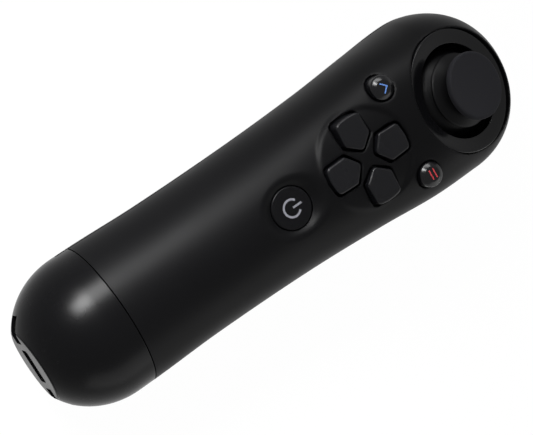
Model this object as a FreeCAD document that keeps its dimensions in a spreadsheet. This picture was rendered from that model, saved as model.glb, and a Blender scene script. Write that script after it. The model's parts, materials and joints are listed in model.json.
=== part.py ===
import FreeCAD, Part
import math
import os
import re
import Sketcher
from FreeCAD import Placement, Rotation, Vector

# Motion navigation controller, in millimetres.
# It lies on its back: +X is the user's right, +Y runs to the head, +Z is the key face.
# Each piece is drawn in the body frame, with Y = 0 at the tail end face and Z = 0 on the
# long axis. The row frame puts the origin under the middle of the object, on the table.

os.makedirs("parts", exist_ok=True)
doc = FreeCAD.newDocument("navigation_controller")

SIZES = [
    # casing stations along the body: run from the station before, half width, height of
    # the front and depth of the back, height of the widest point, squareness of the front
    ("cap_length", 20.66), ("tail_radius", 18.05), ("dome_shoulder", 16.5), ("dome_reach", 19.0),
    ("round_arc", 0.5523), ("section_step", 7.0),
    ("waist_run", 19.34), ("waist_side", 17.66), ("waist_front", 18.3), ("waist_back", 17.6),
    ("waist_widest", 0.3), ("waist_square", 0.5523),
    ("home_run", 26.0), ("home_side", 18.05), ("home_front", 19.45), ("home_back", 15.6),
    ("home_widest", 0.8), ("home_square", 0.57),
    ("pad_run", 21.3), ("pad_side", 19.1), ("pad_front", 20.3), ("pad_back", 13.4),
    ("pad_widest", 1.4), ("pad_square", 0.65),
    ("shoulder_run", 15.7), ("shoulder_side", 20.4), ("shoulder_front", 20.9),
    ("shoulder_back", 14.6), ("shoulder_widest", 1.8), ("shoulder_square", 0.68),
    ("head_run", 14.0), ("head_side", 21.0), ("head_front", 20.7), ("head_back", 16.8),
    ("head_widest", 0.0), ("head_square", 0.64), ("head_reach", 21.0),
    ("wall", 1.8), ("seam_gap", 0.2), ("parting_gap", 0.12), ("collar_gap", 0.25),
    ("collar_length", 3.8), ("collar_thick", 1.2), ("collar_root", 2.0),
    # stick: the ring's plane leans towards the tip, and depths run along its normal
    ("ring_offset", 1.8), ("ring_sink", 5.05), ("ring_tilt", 15.7), ("ring_radius", 15.3),
    ("ring_thick", 1.2), ("ring_gap", 0.05), ("ring_margin", 0.7), ("cup_floor", 1.5),
    ("pivot_depth", 12.5),
    ("dome_radius", 15.76), ("dome_thick", 1.0), ("dome_gap", 0.35), ("dome_skirt", 7.4),
    ("cap_radius", 8.25), ("cap_top", 5.85), ("cap_rim", 1.9), ("cap_round", 0.75),
    ("neck_radius", 3.6), ("neck_gap", 0.03), ("neck_tail", 0.8), ("shaft_radius", 1.1),
    ("shaft_tail", 1.9), ("shaft_top", 4.2), ("stem_radius", 2.0), ("stem_tail", 2.0),
    ("fit_gap", 0.03), ("pin_gap", 0.05),
    # gimbal, about the pivot
    ("module_half", 7.5), ("module_wall", 0.8), ("module_below", 4.5), ("module_above", 3.2),
    ("arc_radius", 6.3), ("arc_thick", 0.8), ("arc_half", 2.2), ("arc_skirt", 1.4),
    ("arc_slot", 3.4), ("slot_gap", 0.15), ("trunnion_radius", 1.0), ("trunnion_reach", 7.2),
    ("yoke_side", 3.3), ("yoke_half", 4.6), ("yoke_thick", 1.3), ("yoke_window", 2.1),
    ("yoke_room", 3.0), ("hub_ring", 1.9), ("hub_half", 1.5), ("cross_radius", 0.6),
    ("cross_reach", 2.9), ("cross_room", 0.1),
    ("pot_thick", 2.8), ("pot_half", 4.5), ("switch_half", 2.5), ("switch_thick", 2.6),
    ("board_thick", 1.2), ("stick_board_half", 14.0), ("stick_board_back", 9.5),
    ("stick_board_front", 10.5), ("stick_post_x", 12.1), ("stick_post_y", 3.0),
    # keys and buttons
    ("pad_radius", 11.9), ("pad_sink", 0.1), ("pad_crown", 28.0), ("pad_depth", 4.9),
    ("key_rise", 0.7), ("key_tip", 2.1), ("key_shoulder", 5.0), ("key_shoulder_half", 3.75),
    ("key_end", 11.1), ("key_end_half", 3.55), ("key_gap", 0.3), ("key_round", 0.5),
    ("key_corner", 0.7), ("flange_side", 0.5), ("flange_thick", 1.0), ("flange_gap", 0.15),
    ("key_travel", 0.6),
    ("button_x", 11.8), ("button_back", 3.5), ("button_radius", 3.05), ("button_top_radius", 2.3),
    ("button_drop", 0.3), ("button_slope", 1.3), ("button_gap", 0.2), ("boss_wall", 1.3),
    ("button_floor_drop", 1.6), ("button_flange_side", 0.3), ("room_gap", 0.15),
    ("home_radius", 5.1), ("home_sink", 1.85), ("home_round", 0.4), ("home_gap", 0.2),
    ("dimple_radius", 8.3), ("dimple_lip", 0.3), ("dimple_depth", 2.5),
    # boards and rubber
    ("board_sink", 10.3), ("board_start", 6.4), ("board_half", 11.3), ("board_wide_half", 14.0),
    ("board_end", 4.5), ("rubber_thick", 1.0), ("rubber_half", 13.8), ("rubber_disc", 10.9),
    ("rubber_strip", 3.5), ("rubber_dome", 2.0), ("rubber_crown", 1.5), ("press_gap", 0.06),
    ("post_radius", 2.0), ("board_screw_x", 9.2), ("board_screw_y", 9.8), ("board_screw_run", 7.0),
    # battery
    ("cell_length", 34.0), ("cell_width", 20.0), ("cell_thick", 7.5), ("cell_start", 8.4),
    ("cell_lift", 8.0), ("cell_round", 1.0), ("tray_wall", 1.2), ("tray_side", 4.0),
    ("tray_gap", 0.15), ("rib_half", 8.0), ("rib_thick", 1.4), ("rib_step", 11.0),
    ("rib_start", 14.0),
    # tail socket and contacts
    ("socket_width", 7.7), ("socket_height", 3.9), ("socket_length", 9.2), ("socket_wall", 0.35),
    ("socket_sink", 0.6), ("tongue_width", 5.2), ("tongue_thick", 1.3), ("tongue_sink", 1.0),
    ("slot_margin", 0.4), ("contact_inner", 6.1), ("contact_outer", 12.1), ("contact_half", 2.2),
    ("contact_sink", 1.2), ("contact_plate", 0.4), ("contact_margin", 0.5), ("contact_run", 9.0),
    ("strap_length", 3.1), ("strap_half", 1.65), ("strap_drop", 1.55), ("strap_inner", 13.5),
    ("tail_board_half", 10.8), ("tail_board_start", 5.5), ("tail_board_end", 18.5),
    ("ledge_thick", 1.6), ("ledge_inner", 7.0), ("ledge_start", 8.0), ("ledge_end", 17.0),
    # trigger
    ("trigger_half", 8.4), ("trigger_gap", 0.4), ("hinge_offset", 7.5), ("hinge_depth", 8.6),
    ("hinge_radius", 1.0), ("ear_thick", 2.2), ("ear_radius", 2.8), ("hub_radius", 2.6),
    ("root_ahead", 2.0), ("root_drop", 6.2), ("saddle_back", 9.5), ("saddle_drop", 6.0),
    ("crest_back", 19.5), ("crest_flat", 1.6), ("nose_back", 22.3), ("nose_drop", 7.6),
    ("heel_back", 21.0), ("heel_drop", 2.4), ("inner_back", 3.5), ("inner_rise", 2.6),
    # shoulder button and its switch
    ("bumper_half", 7.6), ("bumper_start", 1.8), ("bumper_length", 11.2), ("bumper_proud", 0.7),
    ("bumper_gap", 0.3), ("bumper_flange", 0.5), ("bumper_plate", 1.0), ("bumper_travel", 0.7),
    ("plunger_radius", 2.0), ("tact_half", 2.25), ("tact_thick", 2.4), ("bumper_board_sink", 8.8),
    ("bumper_board_half", 12.3), ("bumper_board_start", 1.0), ("bumper_board_length", 8.4),
    ("bumper_board_thick", 1.0), ("bumper_post_x", 10.6), ("bumper_post", 1.5),
    # screws
    ("screw_radius", 0.95), ("screw_head_radius", 1.75), ("screw_head", 1.1), ("screw_gap", 0.15),
    ("thread_gap", 0.02), ("screw_x", 12.3), ("screw_y", 4.5), ("screw_tip", 4.4),
    ("screw_post", 2.6), ("screw_seat", 5.6), ("screw_reach", 5.5), ("screw_spare", 0.5),
    ("small_radius", 0.7), ("small_head_radius", 1.3), ("small_head", 0.8), ("small_reach", 3.0),
]

sheet = doc.addObject("Spreadsheet::Sheet", "sizes")
for row, (alias, value) in enumerate(SIZES, start=1):
    sheet.set("A%d" % row, alias)
    sheet.set("B%d" % row, str(value))
    sheet.setAlias("B%d" % row, alias)
doc.recompute()

ALIASES = {alias for alias, value in SIZES}
STATIONS = ("waist", "home", "pad", "shoulder", "head")
FACINGS = ("up", "down", "left", "right")
FAR = 60

# Places along the body, as rules in sheet words
WAIST_Y = "(cap_length + waist_run)"
HOME_Y = "(cap_length + waist_run + home_run)"
PAD_Y = "(cap_length + waist_run + home_run + pad_run)"
SHOULDER_Y = "(cap_length + waist_run + home_run + pad_run + shoulder_run)"
HEAD_Y = "(cap_length + waist_run + home_run + pad_run + shoulder_run + head_run)"
TIP_Y = "(cap_length + waist_run + home_run + pad_run + shoulder_run + head_run + head_reach)"
SHELL_START = "(cap_length + seam_gap)"
RING_Y = "(%s + ring_offset)" % HEAD_Y
RING_Z = "(head_front - ring_sink)"
PIVOT_Y = "(%s - pivot_depth * sin(ring_tilt * 1deg))" % RING_Y
BUTTON_Y = "(%s - button_back)" % SHOULDER_Y
PAD_Z = "(pad_front - pad_sink)"
KEY_FLOOR = "(%s - pad_depth)" % PAD_Z
KEY_TOP = "(%s + key_rise)" % PAD_Z
KEY_CENTRE = "((key_tip + key_end) / 2)"
FLANGE_BASE = "(%s - flange_gap - flange_thick)" % KEY_FLOOR
FLANGE_TOP = "(%s - flange_gap)" % KEY_FLOOR
HOME_TOP = "(home_front - home_sink)"
BUTTON_TOP = "(shoulder_front - button_drop)"
BUTTON_FLOOR = "(%s - button_floor_drop)" % KEY_FLOOR
BUTTON_HOLE = "(button_radius + button_gap)"
BUTTON_FLANGE = "(button_radius + button_gap + button_flange_side)"
BUTTON_FLANGE_BASE = "(%s - flange_gap - flange_thick)" % BUTTON_FLOOR
BUTTON_FLANGE_TOP = "(%s - flange_gap)" % BUTTON_FLOOR
BOARD_Z = "(pad_front - board_sink)"
BOARD_BASE = "(%s - board_thick)" % BOARD_Z
RUBBER_TOP = "(%s + rubber_thick)" % BOARD_Z
RUBBER_PEAK = "(%s - key_travel - press_gap)" % FLANGE_BASE
BUTTON_PEAK = "(%s - key_travel - press_gap)" % BUTTON_FLANGE_BASE
CELL_Y = "(cap_length + cell_start)"
CELL_Z = "(cell_lift - home_back)"
TRAY_Z = "(%s - tray_wall)" % CELL_Z
HINGE_Y = "(%s - hinge_offset)" % HEAD_Y
BUMPER_Y = "(%s - bumper_start)" % HEAD_Y
BUMPER_BOARD_Y = "(%s + bumper_board_start)" % HEAD_Y
PLUNGER_Y = "(%s + bumper_board_length / 2)" % BUMPER_BOARD_Y
TACT_BASE = "(-bumper_board_sink - tact_thick)"
TAIL_BOARD_Z = "(-socket_height / 2)"
LEDGE_TOP = "(%s - board_thick)" % TAIL_BOARD_Z

# Heights in the stick's frame
MODULE_TOP = "(module_above - pivot_depth)"
MODULE_FLOOR = "(-pivot_depth - module_below)"
STICK_BOARD_BASE = "(%s - board_thick)" % MODULE_FLOOR
RING_OPENING = "(sqrt(dome_radius ^ 2 - (pivot_depth - ring_thick) ^ 2) + ring_margin)"
CAP_BASE = "(cap_top - cap_rim)"
NECK_BASE = "(dome_radius - dome_thick - pivot_depth - neck_tail)"

# Places of the fasteners: across and along the body
SHELL_SCREWS = [
    ("screw_x", "%s + screw_y" % HOME_Y),
    ("-screw_x", "%s + screw_y" % HOME_Y),
    ("0", "%s - screw_tip" % TIP_Y),
]
BOARD_SCREWS = [
    (side + "board_screw_x", along)
    for side in ("", "-")
    for along in ("%s - board_screw_y" % PAD_Y, "%s - board_screw_run" % WAIST_Y)
]
STICK_SCREWS = [("stick_post_x", "stick_post_y"), ("-stick_post_x", "stick_post_y")]
BUMPER_SCREWS = [("bumper_post_x", PLUNGER_Y), ("-bumper_post_x", PLUNGER_Y)]

nodes = {}
places = {}


def size(alias):
    """The value of one cell of the sheet."""
    return float(sheet.get(alias))


def station(name):
    """The place of a station along the body."""
    place = size("cap_length")
    for stop in STATIONS[:STATIONS.index(name) + 1]:
        place += size(stop + "_run")
    return place


def rule(text):
    """Sheet words in a rule, as the sheet's own names."""
    return re.sub(r"[a-z_]+", lambda m: "sizes." + m.group() if m.group() in ALIASES else m.group(), str(text))


def bind(obj, prop, text):
    """Ties a property of an object to a rule."""
    obj.setExpression(prop, rule(text))
    return obj


def place(obj, at):
    """Ties the place of an object to three rules."""
    places[obj.Name] = at
    for axis, text in zip("xyz", at):
        bind(obj, "Placement.Base." + axis, text)
    return obj


def finish(obj):
    """Moves a finished piece to the row frame and lists it as a node."""
    x, y, z = places.get(obj.Name, (0, 0, 0))
    nodes[obj.Label] = obj
    return place(obj, (x, "%s - %s / 2" % (y, TIP_Y), "%s + tail_radius" % z))


TURN = {
    "z": Rotation(),
    "x": Rotation(Vector(0, 1, 0), 90),
    "y": Rotation(Vector(1, 0, 0), -90),
}


def cylinder(name, radius, height, at=(0, 0, 0), along="z"):
    obj = doc.addObject("Part::Cylinder", name)
    bind(obj, "Radius", radius)
    bind(obj, "Height", height)
    obj.Placement = Placement(Vector(), TURN[along])
    return place(obj, at)


def bar(name, radius, reach, at=(0, 0, 0), along="x"):
    """A round bar that reaches the same way to both sides of a point."""
    start = list(at)
    axis = "xyz".index(along)
    start[axis] = "%s - (%s)" % (at[axis], reach)
    return cylinder(name, radius, "2 * (%s)" % reach, start, along)


def cone(name, low_radius, high_radius, height, at=(0, 0, 0)):
    obj = doc.addObject("Part::Cone", name)
    bind(obj, "Radius1", low_radius)
    bind(obj, "Radius2", high_radius)
    bind(obj, "Height", height)
    return place(obj, at)


def sphere(name, radius, at=(0, 0, 0)):
    obj = doc.addObject("Part::Sphere", name)
    bind(obj, "Radius", radius)
    return place(obj, at)


def box(name, low, high):
    """A box between two corners, each given as three rules."""
    obj = doc.addObject("Part::Box", name)
    for prop, start, end in zip(("Length", "Width", "Height"), low, high):
        bind(obj, prop, "(%s) - (%s)" % (end, start))
    return place(obj, low)


def cut(name, base, *tools):
    obj = doc.addObject("Part::Cut", name)
    obj.Base = base
    obj.Tool = tools[0] if len(tools) == 1 else fuse(name + "_tools", *tools)
    return obj


def fuse(name, *shapes):
    obj = doc.addObject("Part::MultiFuse", name)
    obj.Shapes = list(shapes)
    return obj


def common(name, base, tool):
    obj = doc.addObject("Part::Common", name)
    obj.Base = base
    obj.Tool = tool
    return obj


def group(name, *shapes):
    """Separate solids that share one node."""
    obj = doc.addObject("Part::Compound", name)
    obj.Links = list(shapes)
    return obj


def in_stick_frame(obj):
    """Puts a piece that is drawn about the ring's centre at its place in the body."""
    obj.Placement = Placement(Vector(), Rotation(Vector(1, 0, 0), -size("ring_tilt")))
    bind(obj, "Placement.Rotation.Angle", "-ring_tilt")
    return place(obj, (0, RING_Y, RING_Z))


def sketch_body(name, plane, corners, kind, amount=None, start=0):
    """A body whose first sketch joins the corners: two rules for each one."""
    body = doc.addObject("PartDesign::Body", name)
    add_sketch_feature(body, name, plane, corners, kind, amount, start)
    return body


def add_sketch_feature(body, name, plane, corners, kind, amount=None, start=0):
    sketch = body.newObject("Sketcher::SketchObject", name + "_sketch")
    support = [item for item in body.Origin.OriginFeatures if item.Role == plane][0]
    sketch.AttachmentSupport = [(support, "")]
    sketch.MapMode = "FlatFace"
    bind(sketch, "AttachmentOffset.Base.z", start)
    count = len(corners)
    guess = [(math.cos(6.28 * i / count), math.sin(6.28 * i / count)) for i in range(count)]
    for i in range(count):
        first = Vector(*guess[i], 0)
        second = Vector(*guess[(i + 1) % count], 0)
        sketch.addGeometry(Part.LineSegment(first, second))
    for i in range(count):
        sketch.addConstraint(Sketcher.Constraint("Coincident", i, 2, (i + 1) % count, 1))
    for i, corner in enumerate(corners):
        for kind_of, text, value in zip(("DistanceX", "DistanceY"), corner, guess[i]):
            index = sketch.addConstraint(Sketcher.Constraint(kind_of, -1, 1, i, 1, value))
            sketch.setExpression("Constraints[%d]" % index, rule(text))
    feature = body.newObject("PartDesign::" + kind, name + "_" + kind.lower())
    feature.Profile = sketch
    if kind == "Revolution":
        feature.ReferenceAxis = (sketch, ["V_Axis"])
        feature.Angle = 360
    else:
        bind(feature, "Length", amount)
    doc.recompute()
    return feature


def round_edges(body, name, radius, chosen):
    """Rounds the edges of a body's last feature that the test picks."""
    base = body.Tip
    bounds = base.Shape.BoundBox
    names = [
        "Edge%d" % (i + 1)
        for i, edge in enumerate(base.Shape.Edges)
        if chosen(edge.BoundBox, bounds)
    ]
    fillet = body.newObject("PartDesign::Fillet", name)
    fillet.Base = (base, names)
    bind(fillet, "Radius", radius)
    doc.recompute()
    return fillet


def is_top(edge, bounds):
    return edge.ZMin > bounds.ZMax - 0.01


def is_upright(edge, bounds):
    return edge.XLength < 0.01 and edge.YLength < 0.01


def is_widest(edge, bounds):
    return edge.XLength > bounds.XLength - 0.01


def across(y, side, front, back, widest, square):
    """A closed outline across the body in four arcs, the front two as square as asked."""
    arc = size("round_arc")
    rise = front - widest
    drop = back + widest
    quarters = [
        [(side, widest), (side, widest + square * rise), (square * side, front), (0, front)],
        [(0, front), (-square * side, front), (-side, widest + square * rise), (-side, widest)],
        [(-side, widest), (-side, widest - arc * drop), (-arc * side, -back), (0, -back)],
        [(0, -back), (arc * side, -back), (side, widest - arc * drop), (side, widest)],
    ]
    edges = []
    for poles in quarters:
        curve = Part.BezierCurve()
        curve.setPoles([Vector(x, y, z) for x, z in poles])
        edges.append(curve.toShape())
    return Part.Wire(edges)


def smooth(stops, y):
    """A smooth curve through (place, value) stops, level at both ends."""
    last = len(stops) - 1
    i = max(k for k in range(last) if stops[k][0] <= y)

    def slope(k):
        if k in (0, last):
            return 0
        return (stops[k + 1][1] - stops[k - 1][1]) / (stops[k + 1][0] - stops[k - 1][0])

    (start, low), (end, high) = stops[i], stops[i + 1]
    run = end - start
    t = (y - start) / run
    return (
        low * (1 + 2 * t) * (1 - t) ** 2
        + high * t * t * (3 - 2 * t)
        + slope(i) * run * t * (1 - t) ** 2
        - slope(i + 1) * run * t * t * (1 - t)
    )


def casing_form(name, inset):
    """The form of the casing, from the seam to the tip, drawn in by an inset."""
    arc = size("round_arc")
    seam = {"side": "tail_radius", "front": "tail_radius", "back": "tail_radius"}
    lines = {}
    for part in ("side", "front", "back", "widest", "square"):
        first = size(seam[part]) if part in seam else {"widest": 0, "square": arc}[part]
        lines[part] = [(size("cap_length"), first)]
        lines[part] += [(station(stop), size(stop + "_" + part)) for stop in STATIONS]
    places_along = [size("cap_length")]
    for stop in STATIONS:
        steps = math.ceil(size(stop + "_run") / size("section_step"))
        start = places_along[-1]
        places_along += [start + size(stop + "_run") * (i + 1) / steps for i in range(steps)]
    outlines = []
    for y in places_along:
        side, front, back, widest, square = (
            smooth(lines[part], min(y, station("head") - 0.001)) for part in lines)
        outlines.append(across(y, side - inset, front - inset, back - inset, widest, square))
    reach = size("head_reach") - inset
    for turn in (18, 36, 52, 66, 77, 85, 89):
        share = math.cos(math.radians(turn))
        outlines.append(across(
            station("head") + reach * math.sin(math.radians(turn)),
            (size("head_side") - inset) * share,
            (size("head_front") - inset) * share,
            (size("head_back") - inset) * share,
            size("head_widest") * share,
            arc + (size("head_square") - arc) * share,
        ))
    feature = doc.addObject("Part::Feature", name)
    feature.Shape = Part.makeLoft(outlines, True, False)
    return feature


def tail_form(name, inset):
    """The form of the tail: a round end cut flat, drawn in by an inset."""
    arc = size("round_arc")
    radius = size("tail_radius") - inset
    reach = size("dome_reach") - inset
    shoulder = size("dome_shoulder")
    end = size("cap_length")
    curve = Part.BezierCurve()
    curve.setPoles([
        Vector(0, shoulder - reach, 0),
        Vector(arc * radius, shoulder - reach, 0),
        Vector(radius, shoulder - arc * reach, 0),
        Vector(radius, shoulder, 0),
    ])
    outline = Part.Wire([
        curve.toShape(),
        Part.makeLine(Vector(radius, shoulder, 0), Vector(radius, end, 0)),
        Part.makeLine(Vector(radius, end, 0), Vector(0, end, 0)),
        Part.makeLine(Vector(0, end, 0), Vector(0, shoulder - reach, 0)),
    ])
    turned = Part.Face(outline).revolve(Vector(), Vector(0, 1, 0), 360)
    kept = Part.makeBox(2 * FAR, FAR, 2 * FAR, Vector(-FAR, inset, -FAR))
    feature = doc.addObject("Part::Feature", name)
    feature.Shape = turned.common(kept)
    return feature


def key_corners(grow, facing):
    """The five corners of a direction key, grown by a clearance, facing one of four ways."""
    tip = "(key_tip - %s)" % grow
    shoulder = "(key_shoulder - %s)" % grow
    wide = "(key_shoulder_half + %s)" % grow
    end = "(key_end + %s)" % grow
    end_wide = "(key_end_half + %s)" % grow
    outline = [("0", tip), (wide, shoulder), (end_wide, end), ("-" + end_wide, end),
               ("-" + wide, shoulder)]
    turned = []
    for side, along in outline:
        if facing == "up":
            turned.append((side, "%s + %s" % (PAD_Y, along)))
        elif facing == "down":
            turned.append((side, "%s - %s" % (PAD_Y, along)))
        elif facing == "right":
            turned.append((along, "%s + (%s)" % (PAD_Y, side)))
        else:
            turned.append(("-" + along, "%s + (%s)" % (PAD_Y, side)))
    return turned


def screw(name, at, up, radius, head_radius, head, reach):
    """A screw whose head sits on a face, with its shank going up or down from there."""
    x, y, z = at
    if up:
        shank = cylinder(name + "_shank", radius, reach, at)
        top = cylinder(name + "_head", head_radius, head, (x, y, "%s - %s" % (z, head)))
    else:
        shank = cylinder(name + "_shank", radius, reach, (x, y, "%s - (%s)" % (z, reach)))
        top = cylinder(name + "_head", head_radius, head, at)
    return fuse(name, shank, top)


def make_front_shell():
    half = common("front_half", wall_form, box(
        "front_side", (-FAR, SHELL_START, "parting_gap / 2"), (FAR, TIP_Y, FAR)))
    cup = in_stick_frame(cylinder_set("cup", "ring_radius + wall", "-ring_thick - cup_floor"))
    boss = BUTTON_HOLE + " + boss_wall"
    bosses = [
        cup,
        cylinder("home_boss", "dimple_radius + boss_wall", FAR, (0, HOME_Y, KEY_FLOOR)),
        cylinder("left_boss", boss, FAR, ("-button_x", BUTTON_Y, BUTTON_FLOOR)),
        cylinder("right_boss", boss, FAR, ("button_x", BUTTON_Y, BUTTON_FLOOR)),
    ]
    for x, y in BOARD_SCREWS:
        bosses.append(cylinder("board_post", "post_radius", FAR, (x, y, BOARD_Z)))
    for x, y in SHELL_SCREWS:
        bosses.append(cylinder("screw_boss", "screw_post", FAR, (x, y, "parting_gap / 2")))
    inside = common("front_bosses", fuse("front_boss_set", *bosses), outer_form)
    lid = fuse("front_solid", half, inside)
    above_pad = cut("above_pad", pad_column("above_pad_column"), pad_crown("under_crown"))
    seat = common("pad_seat", pad_column("pad_seat_column"), pad_crown("seat_crown"))
    with_pad = fuse("front_with_pad", cut("front_under_pad", lid, above_pad), seat)
    room = BUTTON_FLANGE + " + room_gap"
    openings = [
        in_stick_frame(cylinder_set("crater", "ring_radius", "-ring_thick")),
        in_stick_frame(sphere_set("dome_room", "dome_radius + 2 * dome_gap")),
        cylinder("home_hole", "home_radius + home_gap", FAR, (0, HOME_Y, 0)),
        cone("dimple", "home_radius + home_gap", "dimple_radius", "dimple_depth",
             (0, HOME_Y, HOME_TOP + " - dimple_lip")),
        cylinder("left_hole", BUTTON_HOLE, FAR, ("-button_x", BUTTON_Y, 0)),
        cylinder("right_hole", BUTTON_HOLE, FAR, ("button_x", BUTTON_Y, 0)),
        cylinder("left_room", room, BUTTON_FLOOR, ("-button_x", BUTTON_Y, 0)),
        cylinder("right_room", room, BUTTON_FLOOR, ("button_x", BUTTON_Y, 0)),
    ]
    for facing in FACINGS:
        window = key_corners("key_gap", facing)
        openings.append(sketch_body("window_" + facing, "XY_Plane", window, "Pad", FAR))
        flange_room = key_corners("(flange_side + room_gap)", facing)
        openings.append(sketch_body("room_" + facing, "XY_Plane", flange_room, "Pad", KEY_FLOOR))
    for x, y in BOARD_SCREWS:
        pilot = "small_radius + thread_gap"
        openings.append(cylinder("board_pilot", pilot, "small_reach", (x, y, BOARD_Z)))
    for x, y in SHELL_SCREWS:
        openings.append(cylinder("shell_pilot", "screw_radius + thread_gap", "screw_reach", (x, y, 0)))
    return finish(cut("front_shell", with_pad, *openings))


def cylinder_set(name, radius, base):
    """A column in the stick's frame, from a depth to the outside."""
    column = cylinder(name + "_column", radius, FAR, (0, 0, base))
    return group(name, column)


def sphere_set(name, radius):
    """A ball about the stick's pivot."""
    return group(name, sphere(name + "_ball", radius, (0, 0, "-pivot_depth")))


def pad_column(name):
    return cylinder(name, "pad_radius", FAR, (0, PAD_Y, KEY_FLOOR))


def pad_crown(name):
    """The curved top of the round seat of the direction keys, as a long bar."""
    return cylinder(name, "pad_crown", TIP_Y, (0, 0, PAD_Z + " - pad_crown"), "y")


def make_rear_shell():
    half = common("rear_half", wall_form, box(
        "rear_side", (-FAR, SHELL_START, -FAR), (FAR, TIP_Y, "-parting_gap / 2")))
    posts = []
    for x, y in SHELL_SCREWS:
        posts.append(cylinder("rear_post", "screw_post", "%d - parting_gap / 2" % FAR, (x, y, -FAR)))
    for x, y in BUMPER_SCREWS:
        height = "%d - bumper_board_sink" % FAR
        posts.append(cylinder("bumper_post", "bumper_post", height, (x, y, -FAR)))
    for step in range(3):
        start = "cap_length + rib_start + %d * rib_step" % step
        posts.append(box("rib", ("-rib_half", start, -FAR), ("rib_half", start + " + rib_thick", TRAY_Z)))
    inner = "(trigger_half + trigger_gap)"
    for low in (inner, "-%s - ear_thick" % inner):
        posts.append(box("ear", (low, HINGE_Y + " - ear_radius", -FAR),
                         (low + " + ear_thick", HINGE_Y + " + ear_radius", "-hinge_depth")))
        posts.append(cylinder("ear_eye", "ear_radius", "ear_thick", (low, HINGE_Y, "-hinge_depth"), "x"))
    stick_posts = [
        cylinder("stick_post", "post_radius", "%s + %d" % (STICK_BOARD_BASE, FAR), (x, y, -FAR))
        for x, y in STICK_SCREWS
    ]
    posts.append(in_stick_frame(group("stick_posts", *stick_posts)))
    inside = common("rear_inside", fuse("rear_posts", *posts), outer_form)
    bulk = fuse("rear_solid", half, inside)
    room = "bumper_half + bumper_gap"
    openings = [
        box("trigger_window",
            ("-" + inner, HINGE_Y + " - nose_back - 4 * trigger_gap", -FAR),
            (inner, HINGE_Y + " + hub_radius + trigger_gap", -4)),
        box("bumper_window",
            ("-(%s)" % room, BUMPER_Y + " - bumper_gap", -FAR),
            (room, BUMPER_Y + " + bumper_length + bumper_gap", -6)),
        bar("pin_hole", "hinge_radius + fit_gap", inner + " + ear_thick + 0.5",
            (0, HINGE_Y, "-hinge_depth")),
    ]
    for x, y in SHELL_SCREWS:
        openings.append(cylinder("clearance", "screw_radius + screw_gap", FAR, (x, y, -FAR)))
        openings.append(cylinder("counterbore", "screw_head_radius + screw_gap",
                                 "%d - screw_seat" % FAR, (x, y, -FAR)))
    for x, y in BUMPER_SCREWS:
        openings.append(cylinder("bumper_pilot", "small_radius + thread_gap", "small_reach",
                                 (x, y, "-bumper_board_sink - small_reach")))
    stick_pilots = [
        cylinder("stick_pilot", "small_radius + thread_gap", "small_reach",
                 (x, y, STICK_BOARD_BASE + " - small_reach"))
        for x, y in STICK_SCREWS
    ]
    openings.append(in_stick_frame(group("stick_pilots", *stick_pilots)))
    return finish(cut("rear_shell", bulk, *openings))


def make_tail_cap():
    wall = cut("tail_wall", tail_outer, tail_form("tail_inner", size("wall")))
    reach = "(tail_radius - wall - collar_gap)"
    collar = cut(
        "collar",
        fuse("collar_solid",
             cylinder("collar_base", "tail_radius - wall / 2", "collar_root",
                      (0, "cap_length - collar_root", 0), "y"),
             cylinder("collar_reach", reach, "collar_root + collar_length",
                      (0, "cap_length - collar_root", 0), "y")),
        cylinder("collar_bore", reach + " - collar_thick", FAR, (0, 0, 0), "y"))
    ledge_set = fuse("ledge_set", *[
        box("ledge", (low, "ledge_start", LEDGE_TOP + " - ledge_thick"), (high, "ledge_end", LEDGE_TOP))
        for low, high in (("ledge_inner", "tail_radius"), ("-tail_radius", "-ledge_inner"))
    ])
    ledges = common("ledges", ledge_set, tail_outer)
    openings = [
        box("socket_opening",
            ("-socket_width / 2 - slot_margin", -1, "-socket_height / 2 - slot_margin"),
            ("socket_width / 2 + slot_margin", "wall + 1", "socket_height / 2 + slot_margin")),
        box("strap_slot",
            (-FAR, "cap_length - strap_length", "-strap_drop - strap_half"),
            ("-strap_inner", "cap_length + seam_gap", "-strap_drop + strap_half")),
        cut("contact_recesses", contact_blocks("recess", "0"), contact_floor),
    ]
    return finish(cut("tail_cap", fuse("tail_solid", wall, collar, ledges), *openings))


def contact_blocks(name, margin):
    """Two blocks over the contacts, each smaller than its recess by a margin."""
    inner = "(contact_inner + %s)" % margin
    outer = "(contact_outer - %s)" % margin
    half = "(contact_half - %s)" % margin
    return fuse(name + "_blocks", *[
        box(name, (low, -1, "-" + half), (high, "contact_run", half))
        for low, high in ((inner, outer), ("-" + outer, "-" + inner))
    ])


def make_tail_pieces():
    plate_form = cut("plate_form", tail_form("plate_top", size("contact_sink") - size("contact_plate")),
                     contact_floor)
    finish(common("contacts", plate_form, contact_blocks("plate", "contact_margin")))
    shell = box("socket_block", ("-socket_width / 2", "socket_sink", "-socket_height / 2"),
                ("socket_width / 2", "socket_sink + socket_length", "socket_height / 2"))
    room = box("socket_room",
               ("-socket_width / 2 + socket_wall", 0, "-socket_height / 2 + socket_wall"),
               ("socket_width / 2 - socket_wall", "socket_sink + socket_length - socket_wall",
                "socket_height / 2 - socket_wall"))
    finish(cut("socket_shell", shell, room))
    finish(box("socket_tongue",
               ("-tongue_width / 2", "socket_sink + tongue_sink", "-tongue_thick / 2"),
               ("tongue_width / 2", "socket_sink + socket_length - socket_wall", "tongue_thick / 2")))
    finish(box("tail_board", ("-tail_board_half", "tail_board_start", LEDGE_TOP),
               ("tail_board_half", "tail_board_end", TAIL_BOARD_Z)))


def make_ring():
    disc = cylinder("ring_disc", "ring_radius - ring_gap", "ring_thick", (0, 0, "-ring_thick"))
    room = cylinder("ring_room", RING_OPENING, FAR, (0, 0, "-2 * ring_thick"))
    finish(in_stick_frame(cut("ring", disc, room)))


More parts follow.
